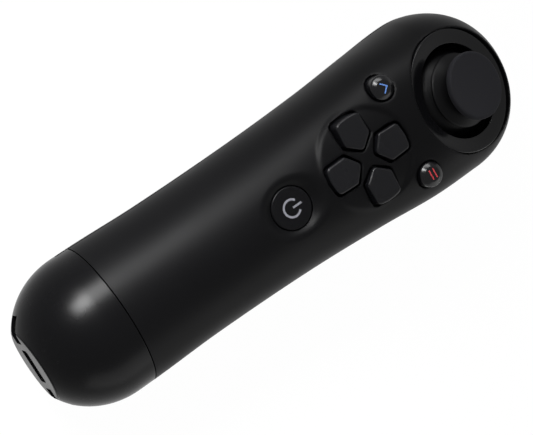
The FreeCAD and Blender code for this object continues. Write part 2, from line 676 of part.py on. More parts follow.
def make_stick():
    cap = sketch_body("cap_blank", "XZ_Plane", [
        ("0", NECK_BASE), ("neck_radius", NECK_BASE), ("neck_radius", CAP_BASE),
        ("cap_radius", CAP_BASE), ("cap_radius", "cap_top"), ("0", "cap_top"),
    ], "Revolution")
    round_edges(cap, "cap_rounding", "cap_round", is_widest)
    bore = cylinder("cap_bore", "stem_radius + thread_gap", "%d + shaft_top" % FAR, (0, 0, -FAR))
    finish(in_stick_frame(cut("stick_cap", cap, bore)))

    ball = sphere("dome_ball", "dome_radius", (0, 0, "-pivot_depth"))
    above = box("dome_kept", (-FAR, -FAR, "dome_skirt - pivot_depth"), (FAR, FAR, FAR))
    hollow = sphere("dome_hollow", "dome_radius - dome_thick", (0, 0, "-pivot_depth"))
    neck_hole = cylinder("neck_hole", "neck_radius + neck_gap", 2 * FAR, (0, 0, -FAR))
    finish(in_stick_frame(cut("stick_dome", common("dome_crown", ball, above), hollow, neck_hole)))

    shaft = fuse("stick_shaft",
                 cylinder("shaft_pin", "shaft_radius", "pivot_depth + shaft_tail",
                          (0, 0, "-pivot_depth - shaft_tail")),
                 cylinder("shaft_stem", "stem_radius", "stem_tail + shaft_top", (0, 0, "-stem_tail")))
    finish(in_stick_frame(shaft))


def make_gimbal():
    pivot = (0, 0, "-pivot_depth")
    ball = sphere("arc_ball", "arc_radius", pivot)
    slab = box("arc_slab", (-FAR, "-arc_half", "-pivot_depth - arc_skirt"), (FAR, "arc_half", FAR))
    solid = fuse("arc_solid", common("arc_crown", ball, slab),
                 bar("arc_trunnions", "trunnion_radius", "trunnion_reach", pivot, "x"))
    hollow = sphere("arc_hollow", "arc_radius - arc_thick", pivot)
    slot = "(shaft_radius + slot_gap)"
    opening = box("arc_opening", ("-arc_slot", "-" + slot, "-pivot_depth"), ("arc_slot", slot, FAR))
    finish(in_stick_frame(cut("upper_arc", solid, hollow, opening)))

    block = box("yoke_block", ("-yoke_side", "-yoke_half", "-pivot_depth - yoke_thick"),
                ("yoke_side", "yoke_half", "yoke_thick - pivot_depth"))
    solid = fuse("yoke_solid", block,
                 bar("yoke_trunnions", "trunnion_radius", "trunnion_reach", pivot, "y"))
    window = box("yoke_opening", ("-yoke_window", "-yoke_room", -FAR), ("yoke_window", "yoke_room", FAR))
    cross = bar("yoke_eyes", "cross_radius + pin_gap", "cross_reach + cross_room", pivot, "x")
    finish(in_stick_frame(cut("lower_yoke", solid, window, cross)))

    hub = fuse("hub_solid",
               cylinder("hub_body", "hub_ring", "2 * hub_half", (0, 0, "-pivot_depth - hub_half")),
               bar("hub_cross", "cross_radius", "cross_reach", pivot, "x"))
    bore = cylinder("hub_bore", "shaft_radius + fit_gap", 2 * FAR, (0, 0, -FAR))
    finish(in_stick_frame(cut("stick_hub", hub, bore)))

    case = box("case_block", ("-module_half", "-module_half", MODULE_FLOOR),
               ("module_half", "module_half", MODULE_TOP))
    inner = "(module_half - module_wall)"
    room = box("case_room", ("-" + inner, "-" + inner, MODULE_FLOOR + " + module_wall"),
               (inner, inner, FAR))
    eyes = [bar("case_eyes", "trunnion_radius + pin_gap", "2 * module_half", pivot, along)
            for along in "xy"]
    finish(in_stick_frame(cut("stick_housing", case, room, *eyes)))


def make_stick_electronics():
    low = MODULE_FLOOR
    high = "(pot_half - pivot_depth)"
    side = box("side_sensor", ("module_half", "-pot_half", low),
               ("module_half + pot_thick", "pot_half", high))
    front = box("front_sensor", ("-pot_half", "module_half", low),
                ("pot_half", "module_half + pot_thick", high))
    finish(in_stick_frame(group("stick_sensors", side, front)))

    lever = box("switch_lever", ("-module_half - switch_thick / 2", "-switch_half / 2", low),
                ("-module_half", "switch_half / 2", low + " + 3 * switch_half"))
    block = box("switch_block", ("-module_half - switch_thick", "-switch_half", low),
                ("-module_half", "switch_half", low + " + 2 * switch_half"))
    finish(in_stick_frame(fuse("stick_switch", block, lever)))

    plate = box("stick_plate", ("-stick_board_half", "-stick_board_back", STICK_BOARD_BASE),
                ("stick_board_half", "stick_board_front", MODULE_FLOOR))
    holes = [cylinder("stick_board_hole", "small_radius + screw_gap", FAR, (x, y, -FAR))
             for x, y in STICK_SCREWS]
    finish(in_stick_frame(cut("stick_board", plate, *holes)))
    screws = [
        screw("stick_screw", (x, y, MODULE_FLOOR), False, "small_radius", "small_head_radius",
              "small_head", "board_thick + small_reach - screw_gap")
        for x, y in STICK_SCREWS
    ]
    finish(in_stick_frame(group("stick_screws", *screws)))


def make_key(facing):
    name = "key_" + facing
    height = "%s - %s" % (KEY_TOP, FLANGE_BASE)
    key = sketch_body(name, "XY_Plane", key_corners("0", facing), "Pad", height, FLANGE_BASE)
    round_edges(key, name + "_corners", "key_corner", is_upright)
    round_edges(key, name + "_rounding", "key_round", is_top)
    flange = key_corners("flange_side", facing)
    add_sketch_feature(key, name + "_flange", "XY_Plane", flange, "Pad", "flange_thick", FLANGE_BASE)
    finish(key)


def make_buttons():
    base, top = BUTTON_FLANGE_BASE, BUTTON_FLANGE_TOP
    for name, x in (("left_button", "-button_x"), ("right_button", "button_x")):
        button = sketch_body(name, "XZ_Plane", [
            ("0", base), (BUTTON_FLANGE, base), (BUTTON_FLANGE, top),
            ("button_radius", top), ("button_radius", BUTTON_TOP + " - button_slope"),
            ("button_top_radius", BUTTON_TOP), ("0", BUTTON_TOP),
        ], "Revolution")
        finish(place(button, (x, BUTTON_Y, 0)))
    rim = "(home_radius + home_gap + flange_side)"
    home = sketch_body("home_button", "XZ_Plane", [
        ("0", FLANGE_BASE), (rim, FLANGE_BASE), (rim, FLANGE_TOP), ("home_radius", FLANGE_TOP),
        ("home_radius", HOME_TOP), ("0", HOME_TOP),
    ], "Revolution")
    round_edges(home, "home_rounding", "home_round", is_top)
    finish(place(home, (0, HOME_Y, 0)))


def make_main_board():
    narrow = box("board_narrow", ("-board_half", "cap_length + board_start", BOARD_BASE),
                 ("board_half", BUTTON_Y + " + board_end", BOARD_Z))
    wide = box("board_wide", ("-board_wide_half", PAD_Y + " - board_screw_y", BOARD_BASE),
               ("board_wide_half", BUTTON_Y + " + board_end", BOARD_Z))
    notches = [cylinder("dome_notch", "dome_radius + dome_gap", FAR, (0, PIVOT_Y, 0))]
    for x, y in SHELL_SCREWS[:2]:
        notches.append(cylinder("screw_notch", "screw_post + screw_gap", FAR, (x, y, 0)))
    for x, y in BOARD_SCREWS:
        notches.append(cylinder("board_hole", "small_radius + screw_gap", FAR, (x, y, 0)))
    finish(cut("main_board", fuse("board_blank", narrow, wide), *notches))
    screws = [
        screw("board_screw", (x, y, BOARD_BASE), True, "small_radius", "small_head_radius",
              "small_head", "board_thick + small_reach - screw_gap")
        for x, y in BOARD_SCREWS
    ]
    finish(group("board_screws", *screws))


def make_keypad():
    centres = [
        ("0", "%s + %s" % (PAD_Y, KEY_CENTRE), RUBBER_PEAK),
        ("0", "%s - %s" % (PAD_Y, KEY_CENTRE), RUBBER_PEAK),
        (KEY_CENTRE, PAD_Y, RUBBER_PEAK), ("-" + KEY_CENTRE, PAD_Y, RUBBER_PEAK),
        ("0", HOME_Y, RUBBER_PEAK),
        ("button_x", BUTTON_Y, BUTTON_PEAK), ("-button_x", BUTTON_Y, BUTTON_PEAK),
    ]
    sheet_pieces = [
        cylinder("rubber_round", "rubber_disc", "rubber_thick", (0, PAD_Y, BOARD_Z)),
        box("rubber_tongue", ("-rubber_strip", HOME_Y + " - rubber_strip", BOARD_Z),
            ("rubber_strip", PAD_Y, RUBBER_TOP)),
        box("rubber_wings", ("-rubber_half", BUTTON_Y + " - rubber_strip", BOARD_Z),
            ("rubber_half", BUTTON_Y + " + rubber_strip", RUBBER_TOP)),
    ]
    notch = cylinder("rubber_notch", "dome_radius + dome_gap", FAR, (0, PIVOT_Y, 0))
    rubber = cut("rubber_sheet", fuse("rubber_blank", *sheet_pieces), notch)
    domes = [
        cone("rubber_peak", "rubber_dome", "rubber_crown", "%s - %s" % (peak, RUBBER_TOP),
             (x, y, RUBBER_TOP))
        for x, y, peak in centres
    ]
    finish(fuse("rubber_keypad", rubber, *domes))


def make_battery():
    cell = sketch_body("battery_cell", "XY_Plane", [
        ("-cell_width / 2", CELL_Y), ("cell_width / 2", CELL_Y),
        ("cell_width / 2", CELL_Y + " + cell_length"), ("-cell_width / 2", CELL_Y + " + cell_length"),
    ], "Pad", "cell_thick", CELL_Z)
    round_edges(cell, "cell_rounding", "cell_round", is_upright)
    finish(cell)
    side = "(cell_width / 2 + tray_gap)"
    block = box("tray_block", ("-%s - tray_wall" % side, CELL_Y + " - tray_gap - tray_wall", TRAY_Z),
                (side + " + tray_wall", CELL_Y + " + cell_length + tray_gap + tray_wall",
                 CELL_Z + " + tray_side"))
    room = box("tray_room", ("-" + side, CELL_Y + " - tray_gap", CELL_Z),
               (side, CELL_Y + " + cell_length + tray_gap", FAR))
    finish(cut("battery_tray", block, room))


def make_trigger():
    hinge = "-hinge_depth"
    profile = sketch_body("trigger_blank", "YZ_Plane", [
        (HINGE_Y + " + root_ahead", hinge + " - root_drop"),
        (HINGE_Y + " - saddle_back", hinge + " - saddle_drop"),
        (HINGE_Y + " - crest_back + crest_flat", "-tail_radius"),
        (HINGE_Y + " - crest_back", "-tail_radius"),
        (HINGE_Y + " - nose_back", hinge + " - nose_drop"),
        (HINGE_Y + " - heel_back", hinge + " - heel_drop"),
        (HINGE_Y + " - inner_back", hinge + " + inner_rise"),
        (HINGE_Y + " + root_ahead", hinge),
    ], "Pad", "2 * trigger_half", "-trigger_half")
    hub = bar("trigger_hub", "hub_radius", "trigger_half", (0, HINGE_Y, hinge))
    eye = bar("trigger_eye", "hinge_radius + pin_gap", "2 * trigger_half", (0, HINGE_Y, hinge))
    finish(cut("trigger", fuse("trigger_solid", profile, hub), eye))
    finish(bar("hinge_pin", "hinge_radius", "trigger_half + trigger_gap + ear_thick",
               (0, HINGE_Y, hinge)))


def make_bumper():
    """The shoulder button, which follows the casing, with the board that carries its switch."""
    end = BUMPER_Y + " + bumper_length"
    column = box("bumper_column", ("-bumper_half", BUMPER_Y, -FAR), ("bumper_half", end, -6))
    side = "(bumper_half + bumper_gap + bumper_flange)"
    flange_column = box("bumper_flange_column",
                        ("-" + side, BUMPER_Y + " - bumper_gap - bumper_flange", -FAR),
                        (side, end + " + bumper_gap + bumper_flange", -6))
    under = size("wall") + size("bumper_gap")
    proud = casing_form("bumper_top", -size("bumper_proud"))
    inside = casing_form("bumper_under", under)
    hollow = casing_form("bumper_hollow", under + size("bumper_plate"))
    plate = common("bumper_plate", proud, column)
    flange = common("bumper_flange", inside, flange_column)
    shell = cut("bumper_shell", fuse("bumper_solid", plate, flange), hollow)
    plunger_base = "(-head_back + wall)"
    plunger = cylinder("plunger", "plunger_radius",
                       "%s - bumper_travel - press_gap - %s" % (TACT_BASE, plunger_base),
                       (0, PLUNGER_Y, plunger_base))
    finish(fuse("shoulder_button", shell, plunger))

    top = "-bumper_board_sink + bumper_board_thick"
    plate = box("bumper_board_blank", ("-bumper_board_half", BUMPER_BOARD_Y, "-bumper_board_sink"),
                ("bumper_board_half", BUMPER_BOARD_Y + " + bumper_board_length", top))
    holes = [cylinder("bumper_board_hole", "small_radius + screw_gap", FAR, (x, y, -FAR))
             for x, y in BUMPER_SCREWS]
    finish(cut("shoulder_board", plate, *holes))
    finish(box("shoulder_switch", ("-tact_half", PLUNGER_Y + " - tact_half", TACT_BASE),
               ("tact_half", PLUNGER_Y + " + tact_half", "-bumper_board_sink")))
    screws = [
        screw("shoulder_screw", (x, y, top), False, "small_radius", "small_head_radius",
              "small_head", "bumper_board_thick + small_reach - screw_gap")
        for x, y in BUMPER_SCREWS
    ]
    finish(group("shoulder_screws", *screws))


def make_shell_screws():
    screws = [
        screw("shell_screw", (x, y, "-screw_seat"), True, "screw_radius", "screw_head_radius",
              "screw_head", "screw_seat + screw_reach - screw_spare")
        for x, y in SHELL_SCREWS
    ]
    finish(group("shell_screws", *screws))


# Forms that several pieces are cut from
outer_form = casing_form("outer_form", 0)
inner_form = casing_form("inner_form", size("wall"))
wall_form = cut("wall_form", outer_form, inner_form)
tail_outer = tail_form("tail_outer", 0)
contact_floor = tail_form("contact_floor", size("contact_sink"))

make_front_shell()
make_rear_shell()
make_tail_cap()
make_tail_pieces()
make_ring()
make_stick()
make_gimbal()
make_stick_electronics()
for facing in FACINGS:
    make_key(facing)
make_buttons()
make_main_board()
make_keypad()
make_battery()
make_trigger()
make_bumper()
make_shell_screws()
doc.recompute()

for obj in doc.Objects:
    if "Invalid" in obj.State or "Error" in obj.State:
        raise RuntimeError("%s did not compute: %s" % (obj.Label, obj.State))
for name, obj in nodes.items():
    if obj.Shape.isNull() or not obj.Shape.isValid():
        raise RuntimeError("%s has no valid shape" % name)
    obj.Shape.exportStep("parts/%s.step" % name)
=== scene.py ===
import json
import math

import bmesh
import bpy
import numpy as np
from mathutils import Matrix, Vector

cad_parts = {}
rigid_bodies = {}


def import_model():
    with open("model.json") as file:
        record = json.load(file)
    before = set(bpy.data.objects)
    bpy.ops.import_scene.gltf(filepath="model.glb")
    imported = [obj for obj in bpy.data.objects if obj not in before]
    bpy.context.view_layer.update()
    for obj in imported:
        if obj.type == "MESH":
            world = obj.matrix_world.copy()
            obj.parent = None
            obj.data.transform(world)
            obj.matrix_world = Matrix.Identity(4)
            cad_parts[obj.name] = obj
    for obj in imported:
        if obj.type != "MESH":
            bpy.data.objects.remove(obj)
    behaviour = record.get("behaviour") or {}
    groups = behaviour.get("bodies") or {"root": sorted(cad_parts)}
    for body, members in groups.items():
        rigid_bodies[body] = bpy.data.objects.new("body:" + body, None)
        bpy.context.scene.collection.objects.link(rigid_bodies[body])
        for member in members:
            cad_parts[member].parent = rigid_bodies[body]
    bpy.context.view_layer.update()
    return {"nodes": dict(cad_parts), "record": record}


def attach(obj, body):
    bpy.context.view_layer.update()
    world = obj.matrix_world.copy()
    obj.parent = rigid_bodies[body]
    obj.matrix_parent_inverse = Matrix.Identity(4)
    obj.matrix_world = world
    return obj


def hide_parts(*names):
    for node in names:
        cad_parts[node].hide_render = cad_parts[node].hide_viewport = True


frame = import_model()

# The body frame: millimetres, Y = 0 at the tail end face, Z = 0 on the long axis.
MM = 0.001
MIDDLE = 69.0
AXIS_HEIGHT = 18.05
SHARP_ANGLE = math.radians(32)
MERGE_DISTANCE = 0.002
# Cutters end this far out, clear of the body.
FAR = 30

# Tail cap: its round end is an ellipse about the shoulder
CAP_LENGTH = 20.66
CAP_WALL = 1.8
TAIL_RADIUS = 18.05
TAIL_SHOULDER = 16.5
TAIL_REACH = 19.0

# Casing stations: place, half width, front, back, height of the widest point, squareness
ROUND_ARC = 0.5523
STATIONS = np.array([
    (CAP_LENGTH, TAIL_RADIUS, TAIL_RADIUS, TAIL_RADIUS, 0.0, ROUND_ARC),
    (40.0, 17.66, 18.3, 17.6, 0.3, ROUND_ARC),
    (66.0, 18.05, 19.45, 15.6, 0.8, 0.57),
    (87.3, 19.1, 20.3, 13.4, 1.4, 0.65),
    (103.0, 20.4, 20.9, 14.6, 1.8, 0.68),
    (117.0, 21.0, 20.7, 16.8, 0.0, 0.64),
])
HEAD_Y = 117.0
HEAD_REACH = 21.0
SHELL_START = 20.86
WALL = 1.8
HALF_GAP = 0.14
PARTING_REACH = 0.62
ROW_STEP = 0.9
# The side of the keys and buttons lies above this height.
FRONT_FROM = 8

# Widths of the rounded rims of the holes
BUTTON_RIM = 0.3
KEY_RIM = 0.28
CRATER_RIM = 0.45
WINDOW_RIM = 0.4

# Stick
RING_CENTRE = Vector((0.0, 118.8, 15.65))
RING_TILT = math.radians(15.7)
RING_RADIUS = 15.25
CRATER_RADIUS = 15.36
CRATER_FLOOR = -4.0
PIVOT_DEPTH = 12.5
DOME_RADIUS = 15.76
RING_OPENING = 11.69
STICK_SEGMENTS = 160

# Keys and buttons
PAD_Y = 87.3
PAD_RADIUS = 11.9
PAD_TOP = 20.2
PAD_CROWN = 28.0
KEY_TOP = 20.9
KEY_FLOOR = 15.3
KEY_GAP = 0.46
KEY_TRIM = 0.12
KEY_CORNER = 1.2
WINDOW_CORNER = 1.3
WINDOW_FLOOR = 10
FLANGE = (14.15, 15.15)
HOME_Y = 66.0
HOME_TOP = 17.6
HOME_RADIUS = 5.1
HOME_HOLE = HOME_RADIUS + 0.2
BUTTON_X = 11.8
BUTTON_Y = 99.5
BUTTON_RADIUS = 3.05
BUTTON_HOLE = BUTTON_RADIUS + 0.25
BUTTON_TOP = 20.6
BUTTON_FLOOR = 13.7
FACINGS = {"up": 0, "left": 90, "down": 180, "right": 270}

# Back. Each window is its half width and where it starts and ends.
HINGE_Y = 109.5
HINGE_Z = -8.6
TRIGGER_HALF = 8.4
TRIGGER_WINDOW = (8.8, 85.6, 112.5)
BUMPER_HALF = 7.6
BUMPER_SPAN = (115.2, 126.4)
BUMPER_PROUD = 0.7
BUMPER_WINDOW = (7.9, 114.9, 126.7)
SCREW_HOLE_RADIUS = 1.9
SCREW_HOLES = ((12.3, 70.5), (-12.3, 70.5), (0, 133.6))


# Mesh helpers

def to_row(points):
    points = np.asarray(points, dtype=float)
    return (points - (0.0, MIDDLE, -AXIS_HEIGHT)) * MM


def add_mesh(name, points, faces):
    """A mesh object from points in the body frame."""
    mesh = bpy.data.meshes.new(name)
    mesh.from_pydata([tuple(p) for p in to_row(points)], [], faces)
    mesh.validate()
    fresh = bmesh.new()
    fresh.from_mesh(mesh)
    bmesh.ops.recalc_face_normals(fresh, faces=fresh.faces)
    fresh.to_mesh(mesh)
    fresh.free()
    obj = bpy.data.objects.new(name, mesh)
    bpy.context.scene.collection.objects.link(obj)
    smooth_shade(obj)
    return obj


def smooth_shade(obj):
    obj.data.shade_smooth()
    obj.data.set_sharp_from_angle(angle=SHARP_ANGLE)


def grid_faces(rows, cols, start=0, closed=False):
    faces = []
    for i in range(rows - 1):
        for j in range(cols if closed else cols - 1):
            k = (j + 1) % cols
            faces.append((start + i * cols + j, start + i * cols + k,
                          start + (i + 1) * cols + k, start + (i + 1) * cols + j))
    return faces


def stack(rings):
    """Points and faces of a solid through rings of equal count."""
    count = len(rings[0])
    points = [p for ring in rings for p in ring]
    faces = grid_faces(len(rings), count, closed=True)
    faces.append(tuple(range(count - 1, -1, -1)))
    faces.append(tuple(range((len(rings) - 1) * count, len(rings) * count)))
    return points, faces


def at_heights(outline, heights):
    """Rings that repeat a closed outline at some heights."""
    return [[(x, y, z) for x, y in outline] for z in heights]


def side_faces(rim, shift):
    """Faces between the rim of one sheet of points and the same rim of a second sheet."""
    return [(after, here, shift + here, shift + after) for here, after in zip(rim, rim[1:] + rim[:1])]


def slab(top, base, rows, cols):
    """Points and faces of a solid between two grids of points."""
    count = rows * cols
    faces = grid_faces(rows, cols) + [tuple(reversed(f)) for f in grid_faces(rows, cols, start=count)]
    rim = list(range(cols)) + [i * cols + cols - 1 for i in range(1, rows)]
    rim += [(rows - 1) * cols + j for j in range(cols - 2, -1, -1)] + [i * cols for i in range(rows - 2, 0, -1)]
    return np.concatenate([top, base]), faces + side_faces(rim, count)


def lathe_points(profile, segments):
    """Points and faces of a turned solid. The profile is a closed list of (radius, height)."""
    points, faces = [], []
    angles = np.linspace(0, 2 * math.pi, segments, endpoint=False)
    for radius, height in profile:
        radius = max(radius, 1e-4)
        points += [(radius * math.cos(a), radius * math.sin(a), height) for a in angles]
    rows = len(profile)
    for i in range(rows):
        n = (i + 1) % rows
        if profile[i][0] <= 0 and profile[n][0] <= 0:
            continue
        for j in range(segments):
            k = (j + 1) % segments
            faces.append((i * segments + j, i * segments + k, n * segments + k, n * segments + j))
    return np.array(points), faces


def merged(obj):
    """Joins the points of a turned solid that meet on its axis."""
    fresh = bmesh.new()
    fresh.from_mesh(obj.data)
    bmesh.ops.remove_doubles(fresh, verts=fresh.verts, dist=MERGE_DISTANCE * MM)
    bmesh.ops.recalc_face_normals(fresh, faces=fresh.faces)
    fresh.to_mesh(obj.data)
    fresh.free()
    smooth_shade(obj)
    return obj


def lathe(name, profile, at, segments=128):
    points, faces = lathe_points(profile, segments)
    return merged(add_mesh(name, points + np.array(at, dtype=float), faces))


STICK_TURN = np.array([
    (1, 0, 0),
    (0, math.cos(RING_TILT), math.sin(RING_TILT)),
    (0, -math.sin(RING_TILT), math.cos(RING_TILT)),
])


def from_stick(points):
    """Points about the ring's centre, with Z along its normal, in the body frame."""
    return np.asarray(points, dtype=float) @ STICK_TURN.T + np.array(RING_CENTRE)


def stick_lathe(name, profile):
    points, faces = lathe_points(profile, STICK_SEGMENTS)
    return merged(add_mesh(name, from_stick(points), faces))


def sphere_profile(rims):
    """A profile through spheres about the stick's pivot, each point a (radius, angle in degrees)."""
    return [(reach * math.sin(math.radians(angle)), reach * math.cos(math.radians(angle)) - PIVOT_DEPTH)
            for reach, angle in rims]


def arc_points(centre, radius, start, end, count=8):
    """Points on an arc in a profile, angles in degrees."""
    return [
        (centre[0] + radius * math.cos(math.radians(a)), centre[1] + radius * math.sin(math.radians(a)))
        for a in np.linspace(start, end, count)
    ]


def block_points(low, high):
    (x0, y0, z0), (x1, y1, z1) = low, high
    points = [(x, y, z) for z in (z0, z1) for x, y in ((x0, y0), (x1, y0), (x1, y1), (x0, y1))]
    faces = [(3, 2, 1, 0), (4, 5, 6, 7), (0, 1, 5, 4), (1, 2, 6, 5), (2, 3, 7, 6), (3, 0, 4, 7)]
    return points, faces


def tube_points(radius, low, high, at, segments):
    """A plain round bar along Z, for cutting."""
    rings = [
        [(at[0] + radius * math.cos(a), at[1] + radius * math.sin(a), z)
         for a in np.linspace(0, 2 * math.pi, segments, endpoint=False)]
        for z in (low, high)
    ]
    return stack(rings)


def cut_away(obj, cutters):
    """Cuts a set of separate solids out of an object."""
    points, faces = [], []
    for part_points, part_faces in cutters:
        start = len(points)
        points += [tuple(p) for p in part_points]
        faces += [tuple(start + i for i in face) for face in part_faces]
    tool = add_mesh(obj.name + "_tool", points, faces)
    modifier = obj.modifiers.new("cut", "BOOLEAN")
    modifier.operation = "DIFFERENCE"
    modifier.solver = "EXACT"
    modifier.object = tool
    graph = bpy.context.evaluated_depsgraph_get()
    mesh = bpy.data.meshes.new_from_object(obj.evaluated_get(graph))
    obj.modifiers.clear()
    obj.data = mesh
    bpy.data.objects.remove(tool)
    smooth_shade(obj)
    obj.modifiers.new("normals", "WEIGHTED_NORMAL").keep_sharp = True
    return obj


def rounded_outline(corners, radius, steps=8):
    """A closed outline with each corner rounded to a radius."""
    points = []
    count = len(corners)
    for i in range(count):
        here = Vector(corners[i])
        before = (Vector(corners[i - 1]) - here).normalized()
        after = (Vector(corners[(i + 1) % count]) - here).normalized()
        half = before.angle(after) / 2
        run = radius / math.tan(half)
        centre = here + (before + after).normalized() * (radius / math.sin(half))
        start = here + before * run - centre
        turn = math.pi - 2 * half
        if before.x * after.y - before.y * after.x > 0:
            turn = -turn
        for step in range(steps + 1):
            spin = Matrix.Rotation(turn * step / steps, 2)
            points.append(tuple(centre + spin @ start))
    return points


def key_outline(grow, radius, facing):
    """The rounded five-sided outline of a direction key, grown by a clearance."""
    tip, shoulder, wide = 2.1 - grow, 5.0 - grow, 3.75 + grow
    end, end_wide = 11.15 + grow, 3.55 + grow
    corners = [(0, tip), (wide, shoulder)]
    corners += [(x, math.sqrt(end ** 2 - x * x)) for x in np.linspace(end_wide, -end_wide, 7)]
    corners.append((-wide, shoulder))
    spin = Matrix.Rotation(math.radians(FACINGS[facing]), 2)
    outline = rounded_outline(corners, radius)
    return [tuple(spin @ Vector(p) + Vector((0, PAD_Y))) for p in outline]


def window_outline(facing):
    return key_outline(KEY_GAP, WINDOW_CORNER, facing)


def key_windows():
    """Bars that cut the windows of the four direction keys."""
    return [stack(at_heights(window_outline(facing), (WINDOW_FLOOR, FAR))) for facing in FACINGS]


def outside_distance(x, y, outline):
    """How far points lie outside a closed outline, below zero inside it."""
    a = np.array(outline)
    b = np.roll(a, -1, axis=0)
    nearest = np.full(x.shape, 1e9)
    crossings = np.zeros(x.shape, dtype=bool)
    for (ax, ay), (bx, by) in zip(a, b):
        run = max((bx - ax) ** 2 + (by - ay) ** 2, 1e-12)
        t = np.clip(((x - ax) * (bx - ax) + (y - ay) * (by - ay)) / run, 0, 1)
        nearest = np.minimum(nearest, np.hypot(x - ax - t * (bx - ax), y - ay - t * (by - ay)))
        if ay != by:
            spans = (ay > y) != (by > y)
            crossings ^= spans & (x < (bx - ax) * (y - ay) / (by - ay) + ax)
    return np.where(crossings, -nearest, nearest)


# The casing's surface

def smooth_along(column, y):
    """One measure of the casing along Y: smooth through the stations, level at both ends."""
    places = STATIONS[:, 0]
    values = STATIONS[:, column]
    slopes = np.zeros(len(places))
    slopes[1:-1] = (values[2:] - values[:-2]) / (places[2:] - places[:-2])
    i = np.clip(np.searchsorted(places, y, side="right") - 1, 0, len(places) - 2)
    run = places[i + 1] - places[i]
    t = np.clip((y - places[i]) / run, 0, 1)
    return (values[i] * (1 + 2 * t) * (1 - t) ** 2 + values[i + 1] * t * t * (3 - 2 * t)
            + slopes[i] * run * t * (1 - t) ** 2 - slopes[i + 1] * run * t * t * (1 - t))


def section_sizes(y, inset=0.0):
    """Half width, front, back, widest height and squareness of the casing at some places."""
    y = np.asarray(y, dtype=float)
    reach = HEAD_REACH - inset
    share = np.sqrt(np.clip(1 - (np.clip(y - HEAD_Y, 0, None) / reach) ** 2, 1e-6, 1))
    side = (smooth_along(1, y) - inset) * share
    front = (smooth_along(2, y) - inset) * share
    back = (smooth_along(3, y) - inset) * share
    widest = smooth_along(4, y) * share
    square = ROUND_ARC + (smooth_along(5, y) - ROUND_ARC) * np.where(y > HEAD_Y, share, 1)
    return side, front, back, widest, square


def outline_points(t, sizes):
    """Points of the outlines at t: 0 on the right, 1 at the front, 2 on the left, 3 at the back."""
    side, front, back, widest, square = (s[:, None] for s in sizes)
    quarter = np.floor(t).astype(int) % 4
    s = t - np.floor(t)
    rise, drop = front - widest, back + widest
    over = quarter < 2
    bend = np.where(over, square, ROUND_ARC)
    height = np.where(over, rise, -drop)
    falling = (quarter == 0) | (quarter == 2)
    s = np.where(falling, s, 1 - s)
    x = (1 - s) ** 3 + 3 * (1 - s) ** 2 * s + 3 * (1 - s) * s * s * bend
    z = 3 * (1 - s) ** 2 * s * bend + 3 * (1 - s) * s * s + s ** 3
    sign = np.where((quarter == 0) | (quarter == 3), 1, -1)
    return sign * side * x, widest + height * z


def parting_place(sizes, level):
    """Where each outline crosses a height on the right, as t."""
    low = np.full(len(sizes[0]), -0.6)
    high = np.full(len(sizes[0]), 0.4)
    for _ in range(30):
        middle = (low + high) / 2
        z = outline_points(middle[:, None], sizes)[1][:, 0]
        low = np.where(z < level, middle, low)
        high = np.where(z < level, high, middle)
    return (low + high) / 2


def half_surface(front, places, columns, inset):
    """A grid of points on the front or rear half of the casing, and its pole."""
    y = np.where(places > HEAD_Y, HEAD_Y + (places - HEAD_Y) * (HEAD_REACH - inset) / HEAD_REACH, places)
    sizes = section_sizes(y, inset)
    level = HALF_GAP if front else -HALF_GAP
    edge = parting_place(sizes, level)
    u = np.linspace(0, 1, columns)[None, :]
    if front:
        t = edge[:, None] + (2 - 2 * edge[:, None]) * u
    else:
        t = 2 - edge[:, None] + (2 + 2 * edge[:, None]) * u
    x, z = outline_points(t, sizes)
    points = np.stack([x, np.broadcast_to(y[:, None], x.shape), z], axis=2)
    pole = (0.0, HEAD_Y + HEAD_REACH - inset, level)
    return points, pole


def casing_places(dense_from, dense_step):
    """Places of the rows along the casing, closer from a place on."""
    low = np.arange(SHELL_START, dense_from, ROW_STEP)
    middle = np.arange(dense_from, HEAD_Y, dense_step)
    turns = np.radians(np.arange(0, 88.6, 1.1))
    return np.concatenate([low, middle, HEAD_Y + HEAD_REACH * np.sin(turns)])


def half_shell(name, front, places, columns, sculpt):
    """A closed half of the casing, with its outer side shaped by a function."""
    outer, outer_pole = half_surface(front, places, columns, 0.0)
    inner, inner_pole = half_surface(front, places, columns, WALL)
    outer = sculpt(outer)
    if front:
        inner = seat(dimple(inner, WALL), WALL)
    rows = len(places)
    count = rows * columns
    points = np.concatenate([outer.reshape(-1, 3), [outer_pole], inner.reshape(-1, 3), [inner_pole]])
    second = count + 1
    faces = grid_faces(rows, columns)
    faces += [tuple(reversed(f)) for f in grid_faces(rows, columns, start=second)]
    last = (rows - 1) * columns
    for j in range(columns - 1):
        faces.append((last + j, last + j + 1, count))
        faces.append((second + last + j + 1, second + last + j, second + count))
    rim = list(range(columns))
    rim += [i * columns + columns - 1 for i in range(1, rows)]
    rim += [count]
    rim += [i * columns for i in range(rows - 1, 0, -1)]
    return add_mesh(name, points, faces + side_faces(rim, second))


def roll_off(distance, width):
    """How far a rounded edge falls at a distance from the hole it borders."""
    inside = np.clip(width - distance, 0, width)
    return width - np.sqrt(np.clip(width ** 2 - inside ** 2, 0, None))


def soft_min(a, b, blend):
    h = np.clip(0.5 + 0.5 * (b - a) / blend, 0, 1)
    return b + (a - b) * h - blend * h * (1 - h)


def dimple(points, depth=0.0):
    """Lowers points into the soft dimple round the home button."""
    floor, slope, reach, blend = HOME_TOP - 0.3, 0.80, 12, 1.3
    x, y, z = points[..., 0], points[..., 1], points[..., 2]
    home = np.hypot(x, y - HOME_Y)
    bowl = floor - depth + np.clip(home - HOME_HOLE, 0, None) * slope
    lowered = np.where((z > FRONT_FROM) & (home < reach), soft_min(z, bowl, blend), z)
    return np.stack([x, y, lowered], axis=-1)


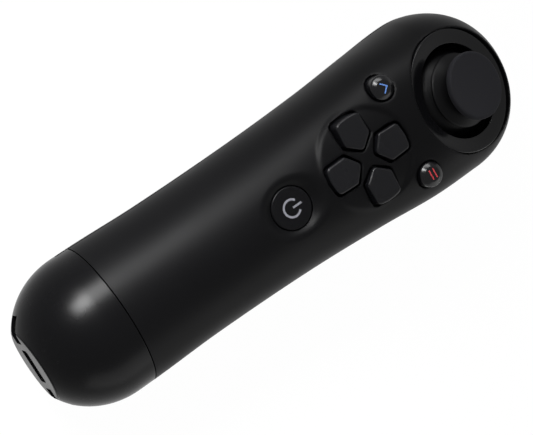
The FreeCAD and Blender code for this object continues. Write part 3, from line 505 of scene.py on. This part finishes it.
def seat(points, depth=0.0):
    """Flattens points into the low round crown that the direction keys stand in."""
    x, y, z = points[..., 0], points[..., 1], points[..., 2]
    away = np.hypot(x, y - PAD_Y) - PAD_RADIUS
    crown = crown_height(np.clip(x, -PAD_RADIUS - 1, PAD_RADIUS + 1)) - depth
    share = np.clip((away + 0.7) / 1.5, 0, 1)
    share = share * share * (3 - 2 * share)
    blended = crown * (1 - share) + z * share
    return np.stack([x, y, np.where((z > FRONT_FROM) & (away < 1), blended, z)], axis=-1)


def sculpt_front(points):
    """The dimple of the home button, the keys' seat and the rounded rims of the holes."""
    points = seat(dimple(soften_parting(points)))
    x, y, z = points[..., 0], points[..., 1], points[..., 2]
    upper = z > FRONT_FROM
    for sign in (-1, 1):
        away = np.hypot(x - sign * BUTTON_X, y - BUTTON_Y) - BUTTON_HOLE
        z = np.where(upper, z - roll_off(away, BUTTON_RIM), z)
    near = upper & (np.hypot(x, y - PAD_Y) < PAD_RADIUS + 2)
    for facing in FACINGS:
        away = outside_distance(x[near], y[near], window_outline(facing))
        z[near] -= roll_off(away, KEY_RIM)
    result = np.stack([x, y, z], axis=-1)
    local = (result - np.array(RING_CENTRE)) @ STICK_TURN
    away = np.hypot(local[..., 0], local[..., 1]) - CRATER_RADIUS
    fall = np.where(local[..., 2] > CRATER_FLOOR, roll_off(np.clip(away, -0.2, None), CRATER_RIM), 0)
    local[..., 2] -= np.clip(fall, 0, CRATER_RIM)
    return np.where((away < CRATER_RIM)[..., None], from_stick(local), result)


def low_surface(x, y, inset):
    """Height of the casing's back at a place, drawn in by an inset."""
    side, _, back, widest, _ = section_sizes(y, inset)
    return widest - (back + widest) * np.sqrt(np.clip(1 - (x / side) ** 2, 0, 1))


def soften_parting(points):
    """Draws the surface in beside the line where the two halves meet."""
    x, y, z = points[..., 0], points[..., 1], points[..., 2]
    fall = 0.6 * roll_off(np.abs(z) - HALF_GAP, PARTING_REACH)
    side = np.hypot(x, np.clip(y - HEAD_Y, 0, None))
    share = np.where(side > 1, (side - fall) / np.maximum(side, 1), 1)
    return np.stack([x * share, np.where(y > HEAD_Y, HEAD_Y + (y - HEAD_Y) * share, y), z], axis=-1)


def sculpt_rear(points):
    """Rounded rims of the trigger's and the shoulder button's windows."""
    points = soften_parting(points)
    x, y, z = points[..., 0], points[..., 1], points[..., 2].copy()
    for half, low, high in (TRIGGER_WINDOW, BUMPER_WINDOW):
        away = np.hypot(np.clip(np.abs(x) - half, 0, None),
                        np.clip(np.maximum(low - y, y - high), 0, None))
        z = np.where(z < -6, z + roll_off(away, WINDOW_RIM), z)
    return np.stack([x, y, z], axis=-1)


def crater_tool():
    points, faces = tube_points(CRATER_RADIUS, CRATER_FLOOR, 25.0, (0, 0), 200)
    return from_stick(points), faces


def make_casing():
    front = half_shell("front_casing", True, casing_places(56, 0.34), 190, sculpt_front)
    cut_away(front, key_windows() + [
        crater_tool(),
        tube_points(HOME_HOLE, FRONT_FROM, FAR, (0, HOME_Y), 120),
        tube_points(BUTTON_HOLE, FRONT_FROM, FAR, (BUTTON_X, BUTTON_Y), 80),
        tube_points(BUTTON_HOLE, FRONT_FROM, FAR, (-BUTTON_X, BUTTON_Y), 80),
    ])
    rear = half_shell("rear_casing", False, casing_places(82, 0.4), 150, sculpt_rear)
    cutters = [block_points((-half, low, -FAR), (half, high, top))
               for (half, low, high), top in ((TRIGGER_WINDOW, -4), (BUMPER_WINDOW, -6))]
    cut_away(rear, cutters + [tube_points(SCREW_HOLE_RADIUS, -FAR, -5.6, spot, 48) for spot in SCREW_HOLES])
    dress(front, "casing", "front_shell")
    dress(rear, "casing", "rear_shell")


def crown_height(x):
    return PAD_TOP - PAD_CROWN + np.sqrt(PAD_CROWN ** 2 - x * x)


def make_well():
    """The deep part of the keys' seat, under the skin of the casing."""
    angles = np.linspace(0, 2 * math.pi, 160, endpoint=False)
    wide = PAD_RADIUS - 0.2
    rings = [[(wide * math.cos(a), PAD_Y + wide * math.sin(a), KEY_FLOOR) for a in angles]]
    for radius in np.linspace(wide, 0.3, 12):
        rings.append([(radius * math.cos(a), PAD_Y + radius * math.sin(a),
                       crown_height(radius * math.cos(a)) - 0.9) for a in angles])
    well = add_mesh("key_well", *stack(rings))
    cut_away(well, key_windows())
    dress(well, "casing", body="casing")


def make_key(facing):
    edge, side, sag, flange = 0.55, 0.8, 0.1, 0.5
    rings = at_heights(key_outline(flange, KEY_CORNER, facing), FLANGE)
    rings += at_heights(key_outline(-KEY_TRIM, KEY_CORNER, facing), FLANGE[1:])
    for turn in np.linspace(0, 90, 9):
        grow = -KEY_TRIM - side * (1 - math.cos(math.radians(turn)))
        height = KEY_TOP - sag - edge * (1 - math.sin(math.radians(turn)))
        rings += at_heights(key_outline(grow, KEY_CORNER + grow * 0.5, facing), [height])
    rim = np.array(rings[-1])
    middle = rim.mean(axis=0)
    for share in (0.85, 0.65, 0.4, 0.12):
        ring = middle + (rim - middle) * share
        ring[:, 2] = KEY_TOP - sag * share ** 2
        rings.append([tuple(p) for p in ring])
    key = add_mesh("key_%s_cap" % facing, *stack(rings))
    dress(key, "keys", "key_" + facing, body="key_" + facing)

    spin = Matrix.Rotation(math.radians(FACINGS[facing]), 2)
    corners = [(-0.6, 8.2), (0.6, 8.2), (0, 9.2)]
    outline = [spin @ Vector(p) + Vector((0, PAD_Y)) for p in rounded_outline(corners, 0.12, 4)]
    mark = add_mesh("key_%s_mark" % facing, *stack(at_heights(outline, (KEY_TOP - 0.2, KEY_TOP - 0.01))))
    dress(mark, "key_mark", body="key_" + facing)


def make_side_button(name, x):
    """A round button with a rounded rim, a conical slope and a flat top."""
    flange, flange_radius, top = BUTTON_FLOOR - 0.15, 3.8, BUTTON_TOP - 0.01
    profile = [(0, flange - 1), (flange_radius, flange - 1), (flange_radius, flange), (BUTTON_RADIUS, flange)]
    radius, height = BUTTON_RADIUS, BUTTON_TOP - 1.62
    profile.append((radius, height))
    for turn in (80, 70, 60, 50, 42, 36, 36, 34, 34, 30, 24, 17, 10, 4):
        step = 0.13 if turn > 36 else 0.24 if turn > 30 else 0.12
        radius -= step * math.cos(math.radians(turn))
        height += step * math.sin(math.radians(turn))
        profile.append((radius, height))
    # What stands above the flange is shifted, so that the last step ends at the top.
    profile = [(r, z + (top - height) * (z > flange)) for r, z in profile]
    profile += [(1.0, top), (0.3, top), (0, top)]
    button = lathe(name + "_cap", profile, at=(x, BUTTON_Y, 0), segments=96)
    dress(button, "buttons", name, body=name)


def make_bar(name, line, width, top, centre, slot, body):
    """A flat painted stroke through points on a button's top."""
    line = [Vector(p) for p in line]
    sides = []
    for i, here in enumerate(line):
        before = (here - line[i - 1]).normalized() if i else (line[1] - here).normalized()
        after = (line[i + 1] - here).normalized() if i < len(line) - 1 else before
        along = (before + after).normalized()
        normal = Vector((-along.y, along.x)) / max(0.3, along.dot(before))
        sides.append((here + normal * width / 2, here - normal * width / 2))
    outline = [s[0] for s in sides] + [s[1] for s in reversed(sides)]
    rings = [[(centre[0] + p.x, centre[1] + p.y, z) for p in outline] for z in (top - 0.2, top + 0.012)]
    stroke = add_mesh(name, *stack(rings))
    dress(stroke, slot, body=body)


def make_marks():
    thin, thick, reach = 0.34, 0.5, 2.05
    left, right, home = (-BUTTON_X, BUTTON_Y), (BUTTON_X, BUTTON_Y), (0, HOME_Y)
    chevron = [(-1.3, -0.6), (0, 0.75), (1.3, -0.6)]
    make_bar("left_mark", chevron, thin, BUTTON_TOP, left, "blue_paint", "left_button")
    for i, shift in enumerate((-0.55, 0.55)):
        bar = [(-1.25, shift), (1.25, shift)]
        make_bar("right_mark_%d" % i, bar, thin, BUTTON_TOP, right, "red_paint", "right_button")
    arc = [(reach * math.sin(math.radians(a)), reach * math.cos(math.radians(a)))
           for a in np.linspace(38, 322, 40)]
    make_bar("home_mark_ring", arc, thick, HOME_TOP, home, "grey_paint", "home_button")
    make_bar("home_mark_stem", [(0, 0.3), (0, 2.7)], thick, HOME_TOP, home, "grey_paint", "home_button")


def make_home():
    edge, flange_radius = 0.45, 5.8
    low, high = FLANGE
    profile = [(0, low), (flange_radius, low), (flange_radius, high), (HOME_RADIUS, high)]
    profile += [(HOME_RADIUS, HOME_TOP - edge)]
    profile += arc_points((HOME_RADIUS - edge, HOME_TOP - edge), edge, 0, 90, 7)
    profile += [(HOME_RADIUS - 1.4, HOME_TOP), (2.0, HOME_TOP), (0.4, HOME_TOP), (0, HOME_TOP)]
    home = lathe("home_button_cap", profile, at=(0, HOME_Y, 0))
    dress(home, "home", "home_button", body="home_button")


def make_ring():
    profile = [(RING_RADIUS, -1.2), (RING_RADIUS, -0.25)]
    profile += arc_points((RING_RADIUS - 0.25, -0.25), 0.25, 0, 90, 5)
    profile += [(14.6, -0.03), (13.6, -0.18), (12.7, -0.33), (RING_OPENING + 0.3, -0.44)]
    profile += arc_points((RING_OPENING + 0.18, -0.63), 0.18, 90, 180, 5)
    profile += [(RING_OPENING, -1.2)]
    ring = stick_lathe("stick_ring", profile)
    dress(ring, "ring", "ring", body="casing")


def make_stick():
    radius, top, base, edge = 8.25, 5.8, 3.95, 0.55
    inner, lower = DOME_RADIUS - 2.7, DOME_RADIUS - 1.9
    # The hem flares out close to the full sphere, to cover more of the ring's opening when the stick tilts.
    rims = [(DOME_RADIUS - 0.25, 63.4), (DOME_RADIUS - 0.9, 61.6), (DOME_RADIUS - 1.5, 59.4)]
    rims += [(lower, angle) for angle in np.linspace(57.2, 35.6, 16)]
    rims += [(lower + 0.3, 35.4), (DOME_RADIUS - 0.35, 36.2), (DOME_RADIUS - 0.1, 35.7)]
    rims += [(DOME_RADIUS, angle) for angle in np.linspace(34.8, 16.5, 18)]
    profile = sphere_profile(rims)
    crown = profile[-1][1]
    profile += [(4.1, crown + 0.15), (3.86, crown + 0.38), (3.7, crown + 0.75), (3.66, base)]
    profile += [(3.62, base), (3.62, 0.2)]
    inside = [(inner, angle) for angle in np.linspace(17.0, 56.6, 19)]
    inside += [(inner + 0.4, 59.4), (inner + 1.0, 61.6), (inner + 1.65, 63.3)]
    dome = stick_lathe("stick_skirt", profile + sphere_profile(inside))
    dress(dome, "dome", "stick_dome", body="stick")

    profile = [(0, 1.5), (3.6, 1.5), (3.6, base + 0.02), (radius - 1.2, base + 0.02)]
    profile += arc_points((radius - 0.75, base + 0.75), 0.75, 270, 360, 7)
    profile += arc_points((radius - edge, top - edge), edge, 0, 90, 8)
    profile += [(radius - 1.1, top - 0.02), (6.2, top - 0.08), (3.0, top - 0.11), (0.4, top - 0.12), (0, top - 0.12)]
    cap = stick_lathe("thumb_cap", profile)
    dress(cap, "grip", "stick_cap", body="stick")


def tail_height(radius, inset):
    """Where the tail's round end lies at a distance from the axis, drawn in by an inset."""
    share = np.sqrt(np.clip(1 - (radius / (TAIL_RADIUS - inset)) ** 2, 0, 1))
    return np.maximum(TAIL_SHOULDER - (TAIL_REACH - inset) * share, inset)


def tail_curve(inset, start, end, count):
    """The tail's round end in profile, drawn in by an inset, between two angles."""
    radius, reach = TAIL_RADIUS - inset, TAIL_REACH - inset
    return [(radius * math.sin(a), TAIL_SHOULDER - reach * math.cos(a)) for a in np.linspace(start, end, count)]


def make_tail():
    """The tail cap: its end face and round end outside, and the lip that the casing slides over."""
    bend, groove, wall_start, inner = 0.72, 0.14, 18.6, TAIL_RADIUS - CAP_WALL
    lip_outer, lip_inner, lip_end = 16.0, 14.8, 24.46
    flat = TAIL_RADIUS * math.sqrt(1 - (TAIL_SHOULDER / TAIL_REACH) ** 2)
    profile = [(0.0, 0.0), (3.0, 0.0), (6.0, 0.0), (flat - 0.5, 0.0)]
    for angle in np.linspace(-math.pi / 2, math.acos(0.55) - math.pi / 2, 5):
        profile.append((flat - 0.42 + bend * math.cos(angle), bend * (1 + math.sin(angle))))
    start = math.asin((profile[-1][0] + 0.3) / TAIL_RADIUS)
    profile += tail_curve(0.0, start, math.pi / 2, 46)
    profile += [(TAIL_RADIUS, y) for y in (17.6, 18.8, 20.0, 20.5)]
    profile += arc_points((TAIL_RADIUS - groove, CAP_LENGTH - groove), groove, 0, 90, 4)
    profile += [(lip_outer, CAP_LENGTH), (lip_outer, lip_end), (lip_inner, lip_end)]
    profile += [(lip_inner, wall_start), (inner, wall_start)]
    profile += tail_curve(CAP_WALL, math.pi / 2, math.asin(8.0 / inner), 20)
    profile += [(6.0, CAP_WALL), (0.0, CAP_WALL)]
    turned, faces = lathe_points(profile, 200)
    points = np.stack([turned[:, 0], turned[:, 2], turned[:, 1]], axis=1)
    tail = merged(add_mesh("tail_cap_skin", points, faces))
    socket = rounded_slot(4.3, 2.45, 0.7, -1.0, 3.0)
    strap_slot = block_points((-FAR, 17.56, -3.2), (-13.5, 20.9, 0.1))
    cut_away(tail, [socket, recess_points(-1), recess_points(1), strap_slot])
    dress(tail, "tail", "tail_cap", body="casing")


def rounded_slot(half_width, half_height, radius, low, high):
    """A rounded rectangular bar along Y, for cutting."""
    corners = [(-half_width, -half_height), (half_width, -half_height),
               (half_width, half_height), (-half_width, half_height)]
    outline = rounded_outline(corners, radius, 5)
    return stack([[(x, y, z) for x, z in outline] for y in (low, high)])


def recess_points(sign):
    """A block over a contact recess, whose floor follows the round end."""
    low, high, half, inset = 6.1, 12.1, 2.2, 1.2
    xs = np.linspace(low, high, 24)
    zs = np.linspace(-half, half, 9)
    top = [(sign * x, -2.0, z) for x in xs for z in zs]
    floor = [(sign * x, tail_height(math.hypot(x, z), inset), z) for x in xs for z in zs]
    return slab(top, floor, len(xs), len(zs))


def make_trigger():
    """The analog trigger: a curved finger blade with soft sides."""
    corners = [
        (HINGE_Y + 2.0, HINGE_Z - 6.2), (HINGE_Y + 2.0, HINGE_Z + 0.5), (HINGE_Y - 0.5, HINGE_Z + 2.55),
        (HINGE_Y - 3.5, HINGE_Z + 2.5), (HINGE_Y - 21.0, HINGE_Z - 2.4), (HINGE_Y - 22.3, HINGE_Z - 7.6),
        (HINGE_Y - 19.5, -18.04), (HINGE_Y - 17.9, -18.04), (HINGE_Y - 9.5, HINGE_Z - 6.0),
    ]
    outline = resample([Vector(p) for p in rounded_outline(corners, 0.5, 3)], 140)
    normals = []
    count = len(outline)
    for i in range(count):
        along = (outline[(i + 1) % count] - outline[i - 1]).normalized()
        normals.append(Vector((-along.y, along.x)))
    area = sum(outline[i].x * outline[(i + 1) % count].y - outline[(i + 1) % count].x * outline[i].y
               for i in range(count))
    if area < 0:
        normals = [-n for n in normals]
    edge = 0.9
    levels = [(-TRIGGER_HALF + edge * (1 - math.sin(math.radians(a))), edge * (1 - math.cos(math.radians(a))))
              for a in np.linspace(90, 0, 7)]
    sides = levels + [(x, 0.0) for x in np.linspace(-5, 5, 9)] + [(-x, inset) for x, inset in reversed(levels)]
    rings = [[(x, (p + n * inset).x, (p + n * inset).y) for p, n in zip(outline, normals)]
             for x, inset in sides]
    blade = add_mesh("trigger_blade", *stack(rings))
    dress(blade, "keys", "trigger", body="trigger")


def resample(outline, count):
    """Even points along a closed outline, softened."""
    passes = 6
    ring = outline + [outline[0]]
    lengths = [0.0]
    for a, b in zip(ring, ring[1:]):
        lengths.append(lengths[-1] + (b - a).length)
    targets = np.linspace(0, lengths[-1], count, endpoint=False)
    xs = np.interp(targets, lengths, [p.x for p in ring])
    ys = np.interp(targets, lengths, [p.y for p in ring])
    for _ in range(passes):
        xs = (np.roll(xs, 1) + 2 * xs + np.roll(xs, -1)) / 4
        ys = (np.roll(ys, 1) + 2 * ys + np.roll(ys, -1)) / 4
    return [Vector(p) for p in zip(xs, ys)]


def make_bumper():
    """The shoulder button: a plate that follows the back of the casing."""
    edge, depth, margin = 0.5, 2.1, 0.04
    between = np.linspace(-BUMPER_HALF + margin, BUMPER_HALF - margin, 60)
    xs = np.concatenate([[-BUMPER_HALF], between, [BUMPER_HALF]])
    ys = np.linspace(*BUMPER_SPAN, 50)
    grid_x, grid_y = np.meshgrid(xs, ys)
    outside = low_surface(grid_x, grid_y, -BUMPER_PROUD)
    away = np.minimum(BUMPER_HALF - np.abs(grid_x), np.minimum(grid_y - ys[0], ys[-1] - grid_y))
    outside = outside + roll_off(away, edge)
    inside = low_surface(grid_x, grid_y, depth)
    top = np.stack([grid_x, grid_y, outside], axis=-1).reshape(-1, 3)
    base = np.stack([grid_x, grid_y, inside], axis=-1).reshape(-1, 3)
    plate = add_mesh("shoulder_plate", *slab(top, base, len(ys), len(xs)))
    dress(plate, "keys", "shoulder_button", body="shoulder_button")


# Materials

def principled(name, color, roughness, metallic=0.0, specular=0.5):
    material = bpy.data.materials.new(name)
    material.use_nodes = True
    shader = material.node_tree.nodes["Principled BSDF"]
    shader.inputs["Base Color"].default_value = (*color, 1)
    shader.inputs["Roughness"].default_value = roughness
    shader.inputs["Metallic"].default_value = metallic
    shader.inputs["Specular IOR Level"].default_value = specular
    return material


def add_grain(material, scale, strength, distance, rough_low=None, rough_high=None):
    """Fine moulded grain: a bump from noise, and roughness that varies with a broader one."""
    nodes, links = material.node_tree.nodes, material.node_tree.links
    shader = nodes["Principled BSDF"]
    where = nodes.new("ShaderNodeTexCoord")
    noise = nodes.new("ShaderNodeTexNoise")
    noise.inputs["Scale"].default_value = scale
    noise.inputs["Detail"].default_value = 3
    links.new(where.outputs["Object"], noise.inputs["Vector"])
    bump = nodes.new("ShaderNodeBump")
    bump.inputs["Strength"].default_value = strength
    bump.inputs["Distance"].default_value = distance * MM
    links.new(noise.outputs["Fac"], bump.inputs["Height"])
    links.new(bump.outputs["Normal"], shader.inputs["Normal"])
    if rough_low is not None:
        broad = nodes.new("ShaderNodeTexNoise")
        broad.inputs["Scale"].default_value = 60
        broad.inputs["Detail"].default_value = 4
        links.new(where.outputs["Object"], broad.inputs["Vector"])
        spread = nodes.new("ShaderNodeMapRange")
        spread.inputs["From Min"].default_value = 0.3
        spread.inputs["From Max"].default_value = 0.7
        spread.inputs["To Min"].default_value = rough_low
        spread.inputs["To Max"].default_value = rough_high
        links.new(broad.outputs["Fac"], spread.inputs["Value"])
        links.new(spread.outputs["Result"], shader.inputs["Roughness"])
    return material


def make_materials():
    satin = add_grain(principled("satin_black", (0.0015, 0.0015, 0.0017), 0.42, specular=0.045), 5200, 0.3, 0.012,
                      0.40, 0.46)
    tail = add_grain(principled("gloss_tail", (0.001, 0.001, 0.0012), 0.27, specular=0.065), 900, 0.05, 0.01,
                     0.25, 0.3)
    ring = add_grain(principled("mirror_ring", (0.002, 0.002, 0.0023), 0.16, specular=0.13), 700, 0.02, 0.01,
                     0.14, 0.19)
    grip = add_grain(principled("thumb_rubber", (0.008, 0.008, 0.0095), 0.8, specular=0.08), 3200, 0.6, 0.03,
                     0.75, 0.85)
    dome = add_grain(principled("skirt_black", (0.0015, 0.0015, 0.0017), 0.4, specular=0.05), 3000, 0.2, 0.01,
                     0.36, 0.44)
    keys = add_grain(principled("key_black", (0.0032, 0.0032, 0.0038), 0.28, specular=0.1), 2600, 0.12, 0.01,
                     0.25, 0.31)
    home = add_grain(principled("home_black", (0.002, 0.002, 0.0023), 0.25, specular=0.05), 1500, 0.05, 0.01,
                     0.23, 0.28)
    buttons = add_grain(principled("button_black", (0.002, 0.002, 0.0024), 0.19, specular=0.15), 1500, 0.04, 0.01,
                        0.17, 0.21)
    mark = add_grain(principled("key_engraving", (0.0015, 0.0015, 0.0016), 0.5, specular=0.05), 2000, 0.1, 0.01)
    blue = add_grain(principled("blue_paint", (0.07, 0.14, 0.34), 0.4, specular=0.08), 2000, 0.1, 0.01)
    red = add_grain(principled("red_paint", (0.28, 0.03, 0.035), 0.4, specular=0.08), 2000, 0.1, 0.01)
    grey = add_grain(principled("grey_paint", (0.11, 0.11, 0.125), 0.4, specular=0.08), 2000, 0.1, 0.01)
    steel = add_grain(principled("plated_steel", (0.55, 0.55, 0.54), 0.3, metallic=1.0), 1800, 0.15, 0.01, 0.25, 0.38)
    nickel = add_grain(principled("dark_nickel", (0.08, 0.075, 0.065), 0.35, metallic=1.0), 1800, 0.1, 0.01, 0.3, 0.4)
    nylon = add_grain(principled("acetal", (0.72, 0.72, 0.69), 0.45), 1200, 0.1, 0.01, 0.4, 0.5)
    sensor = add_grain(principled("sensor_green", (0.03, 0.12, 0.07), 0.5), 1200, 0.1, 0.01, 0.4, 0.6)
    board = add_grain(principled("board_green", (0.015, 0.13, 0.05), 0.35), 900, 0.1, 0.01, 0.3, 0.4)
    rubber = add_grain(principled("silicone_grey", (0.02, 0.02, 0.022), 0.7), 1400, 0.3, 0.02, 0.6, 0.8)
    foil = add_grain(principled("cell_foil", (0.6, 0.61, 0.63), 0.35, metallic=0.8), 500, 0.3, 0.05, 0.3, 0.4)
    return {
        "casing": satin, "tail": tail, "ring": ring, "grip": grip, "dome": dome, "keys": keys,
        "buttons": buttons, "home": home, "key_mark": mark, "blue_paint": blue, "red_paint": red,
        "grey_paint": grey, "steel": steel, "contact": nickel, "nylon": nylon, "sensor": sensor,
        "board": board, "keypad": rubber, "cell": foil, "switch": keys,
    }


MATERIALS = make_materials()


def dress(piece, slot, *nodes, body="casing"):
    """Gives a piece its material and the body it rides on, and hides the CAD nodes it stands for."""
    piece.data.materials.clear()
    piece.data.materials.append(MATERIALS[slot])
    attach(piece, body)
    if nodes:
        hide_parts(*nodes)
    return piece


def dress_nodes():
    """Materials on the CAD nodes that stay."""
    slots = {item["node"]: item["material_slot"] for item in frame["record"]["subparts"]}
    for name, node in frame["nodes"].items():
        material = MATERIALS[slots[name]]
        for holder in [node] + list(node.children_recursive):
            if holder.type != "MESH":
                continue
            if not holder.material_slots:
                holder.data.materials.append(material)
            for slot in holder.material_slots:
                slot.material = material


# Stage

FLOOR_SIZE = 3.0
FLOOR_DROP = 0.0002
GLOW_SHARE = 0.985


def make_floor():
    """A floor that is white where it is seen, apart from the small share that shows the object's shadow."""
    bpy.ops.mesh.primitive_plane_add(size=FLOOR_SIZE, location=(0, 0, -FLOOR_DROP))
    floor = bpy.context.object
    floor.name = "floor"
    material = bpy.data.materials.new("floor_white")
    material.use_nodes = True
    nodes, links = material.node_tree.nodes, material.node_tree.links
    shader = nodes["Principled BSDF"]
    shader.inputs["Base Color"].default_value = (0.8, 0.8, 0.8, 1)
    shader.inputs["Roughness"].default_value = 0.9
    glow = nodes.new("ShaderNodeEmission")
    glow.inputs["Strength"].default_value = 1.0
    mix = nodes.new("ShaderNodeMixShader")
    share = nodes.new("ShaderNodeMath")
    share.operation = "MULTIPLY"
    share.inputs[1].default_value = GLOW_SHARE
    links.new(seen_rays(nodes, links), share.inputs[0])
    links.new(share.outputs[0], mix.inputs[0])
    links.new(shader.outputs[0], mix.inputs[1])
    links.new(glow.outputs[0], mix.inputs[2])
    links.new(mix.outputs[0], nodes["Material Output"].inputs[0])
    floor.data.materials.append(material)


def seen_rays(nodes, links):
    """1 for camera, glossy and transmission rays."""
    path = nodes.new("ShaderNodeLightPath")
    first = nodes.new("ShaderNodeMath")
    first.operation = "MAXIMUM"
    links.new(path.outputs["Is Camera Ray"], first.inputs[0])
    links.new(path.outputs["Is Glossy Ray"], first.inputs[1])
    second = nodes.new("ShaderNodeMath")
    second.operation = "MAXIMUM"
    links.new(first.outputs[0], second.inputs[0])
    links.new(path.outputs["Is Transmission Ray"], second.inputs[1])
    return second.outputs[0]


def make_world():
    world = bpy.data.worlds.new("studio")
    bpy.context.scene.world = world
    world.use_nodes = True
    nodes, links = world.node_tree.nodes, world.node_tree.links
    back = nodes["Background"]
    back.inputs["Color"].default_value = (1, 1, 1, 1)
    level = nodes.new("ShaderNodeMapRange")
    level.inputs["To Min"].default_value = 0.35
    level.inputs["To Max"].default_value = 1.0
    links.new(seen_rays(nodes, links), level.inputs["Value"])
    links.new(level.outputs["Result"], back.inputs["Strength"])


def add_lamp(name, spot, toward, distance, size, power, spread=180):
    """A lamp that a place on the body sees in one direction."""
    start = Vector(to_row(spot))
    place = start + Vector(toward).normalized() * distance
    data = bpy.data.lights.new(name, "AREA")
    data.spread = math.radians(spread)
    data.shape = "RECTANGLE"
    data.size, data.size_y = size
    data.energy = power
    lamp = bpy.data.objects.new(name, data)
    bpy.context.scene.collection.objects.link(lamp)
    lamp.location = place
    lamp.rotation_euler = (start - place).to_track_quat("-Z", "Y").to_euler()


def make_lamps():
    add_lamp("side_softbox", (-11, 60, 14), (-0.80, 0.275, 0.53), 0.5, (0.45, 0.10), 2.6)
    add_lamp("tail_softbox", (-8, 12, 16), (-0.73, -0.03, 0.68), 0.22, (0.125, 0.078), 0.2, spread=50)
    add_lamp("right_fill", (11, 50, 14), (0.96, 0.1, 0.06), 0.7, (1.4, 0.6), 5)


def make_camera():
    """The photograph's view, fitted to the outline, the seam, the ring and the keys."""
    photo_width, sensor_width = 533.0, 36.0
    turn_x, turn_y, turn_z = math.radians(-18.30), math.radians(11.99), math.radians(-55.44)
    shift_x, shift_y, distance, focal = 1.65, -3.65, 371.5, 1556.0
    rot = (Matrix.Rotation(turn_z, 3, "Z") @ Matrix.Rotation(turn_x, 3, "X")
           @ Matrix.Rotation(turn_y, 3, "Y"))
    place = rot.transposed() @ Vector((-shift_x, shift_y, distance)) + Vector((0, MIDDLE, 0))
    data = bpy.data.cameras.new("camera")
    data.sensor_width = sensor_width
    data.lens = focal / photo_width * sensor_width
    data.clip_start = 0.01
    camera = bpy.data.objects.new("camera", data)
    bpy.context.scene.collection.objects.link(camera)
    camera.matrix_world = (Matrix.Translation(Vector(to_row(tuple(place)))) @ rot.transposed().to_4x4())
    bpy.context.scene.camera = camera


make_casing()
make_well()
for facing in FACINGS:
    make_key(facing)
make_side_button("left_button", -BUTTON_X)
make_side_button("right_button", BUTTON_X)
make_home()
make_marks()
make_ring()
make_stick()
make_tail()
make_trigger()
make_bumper()
dress_nodes()
make_floor()
make_world()
make_lamps()
make_camera()
bpy.context.scene.view_settings.view_transform = "Standard"
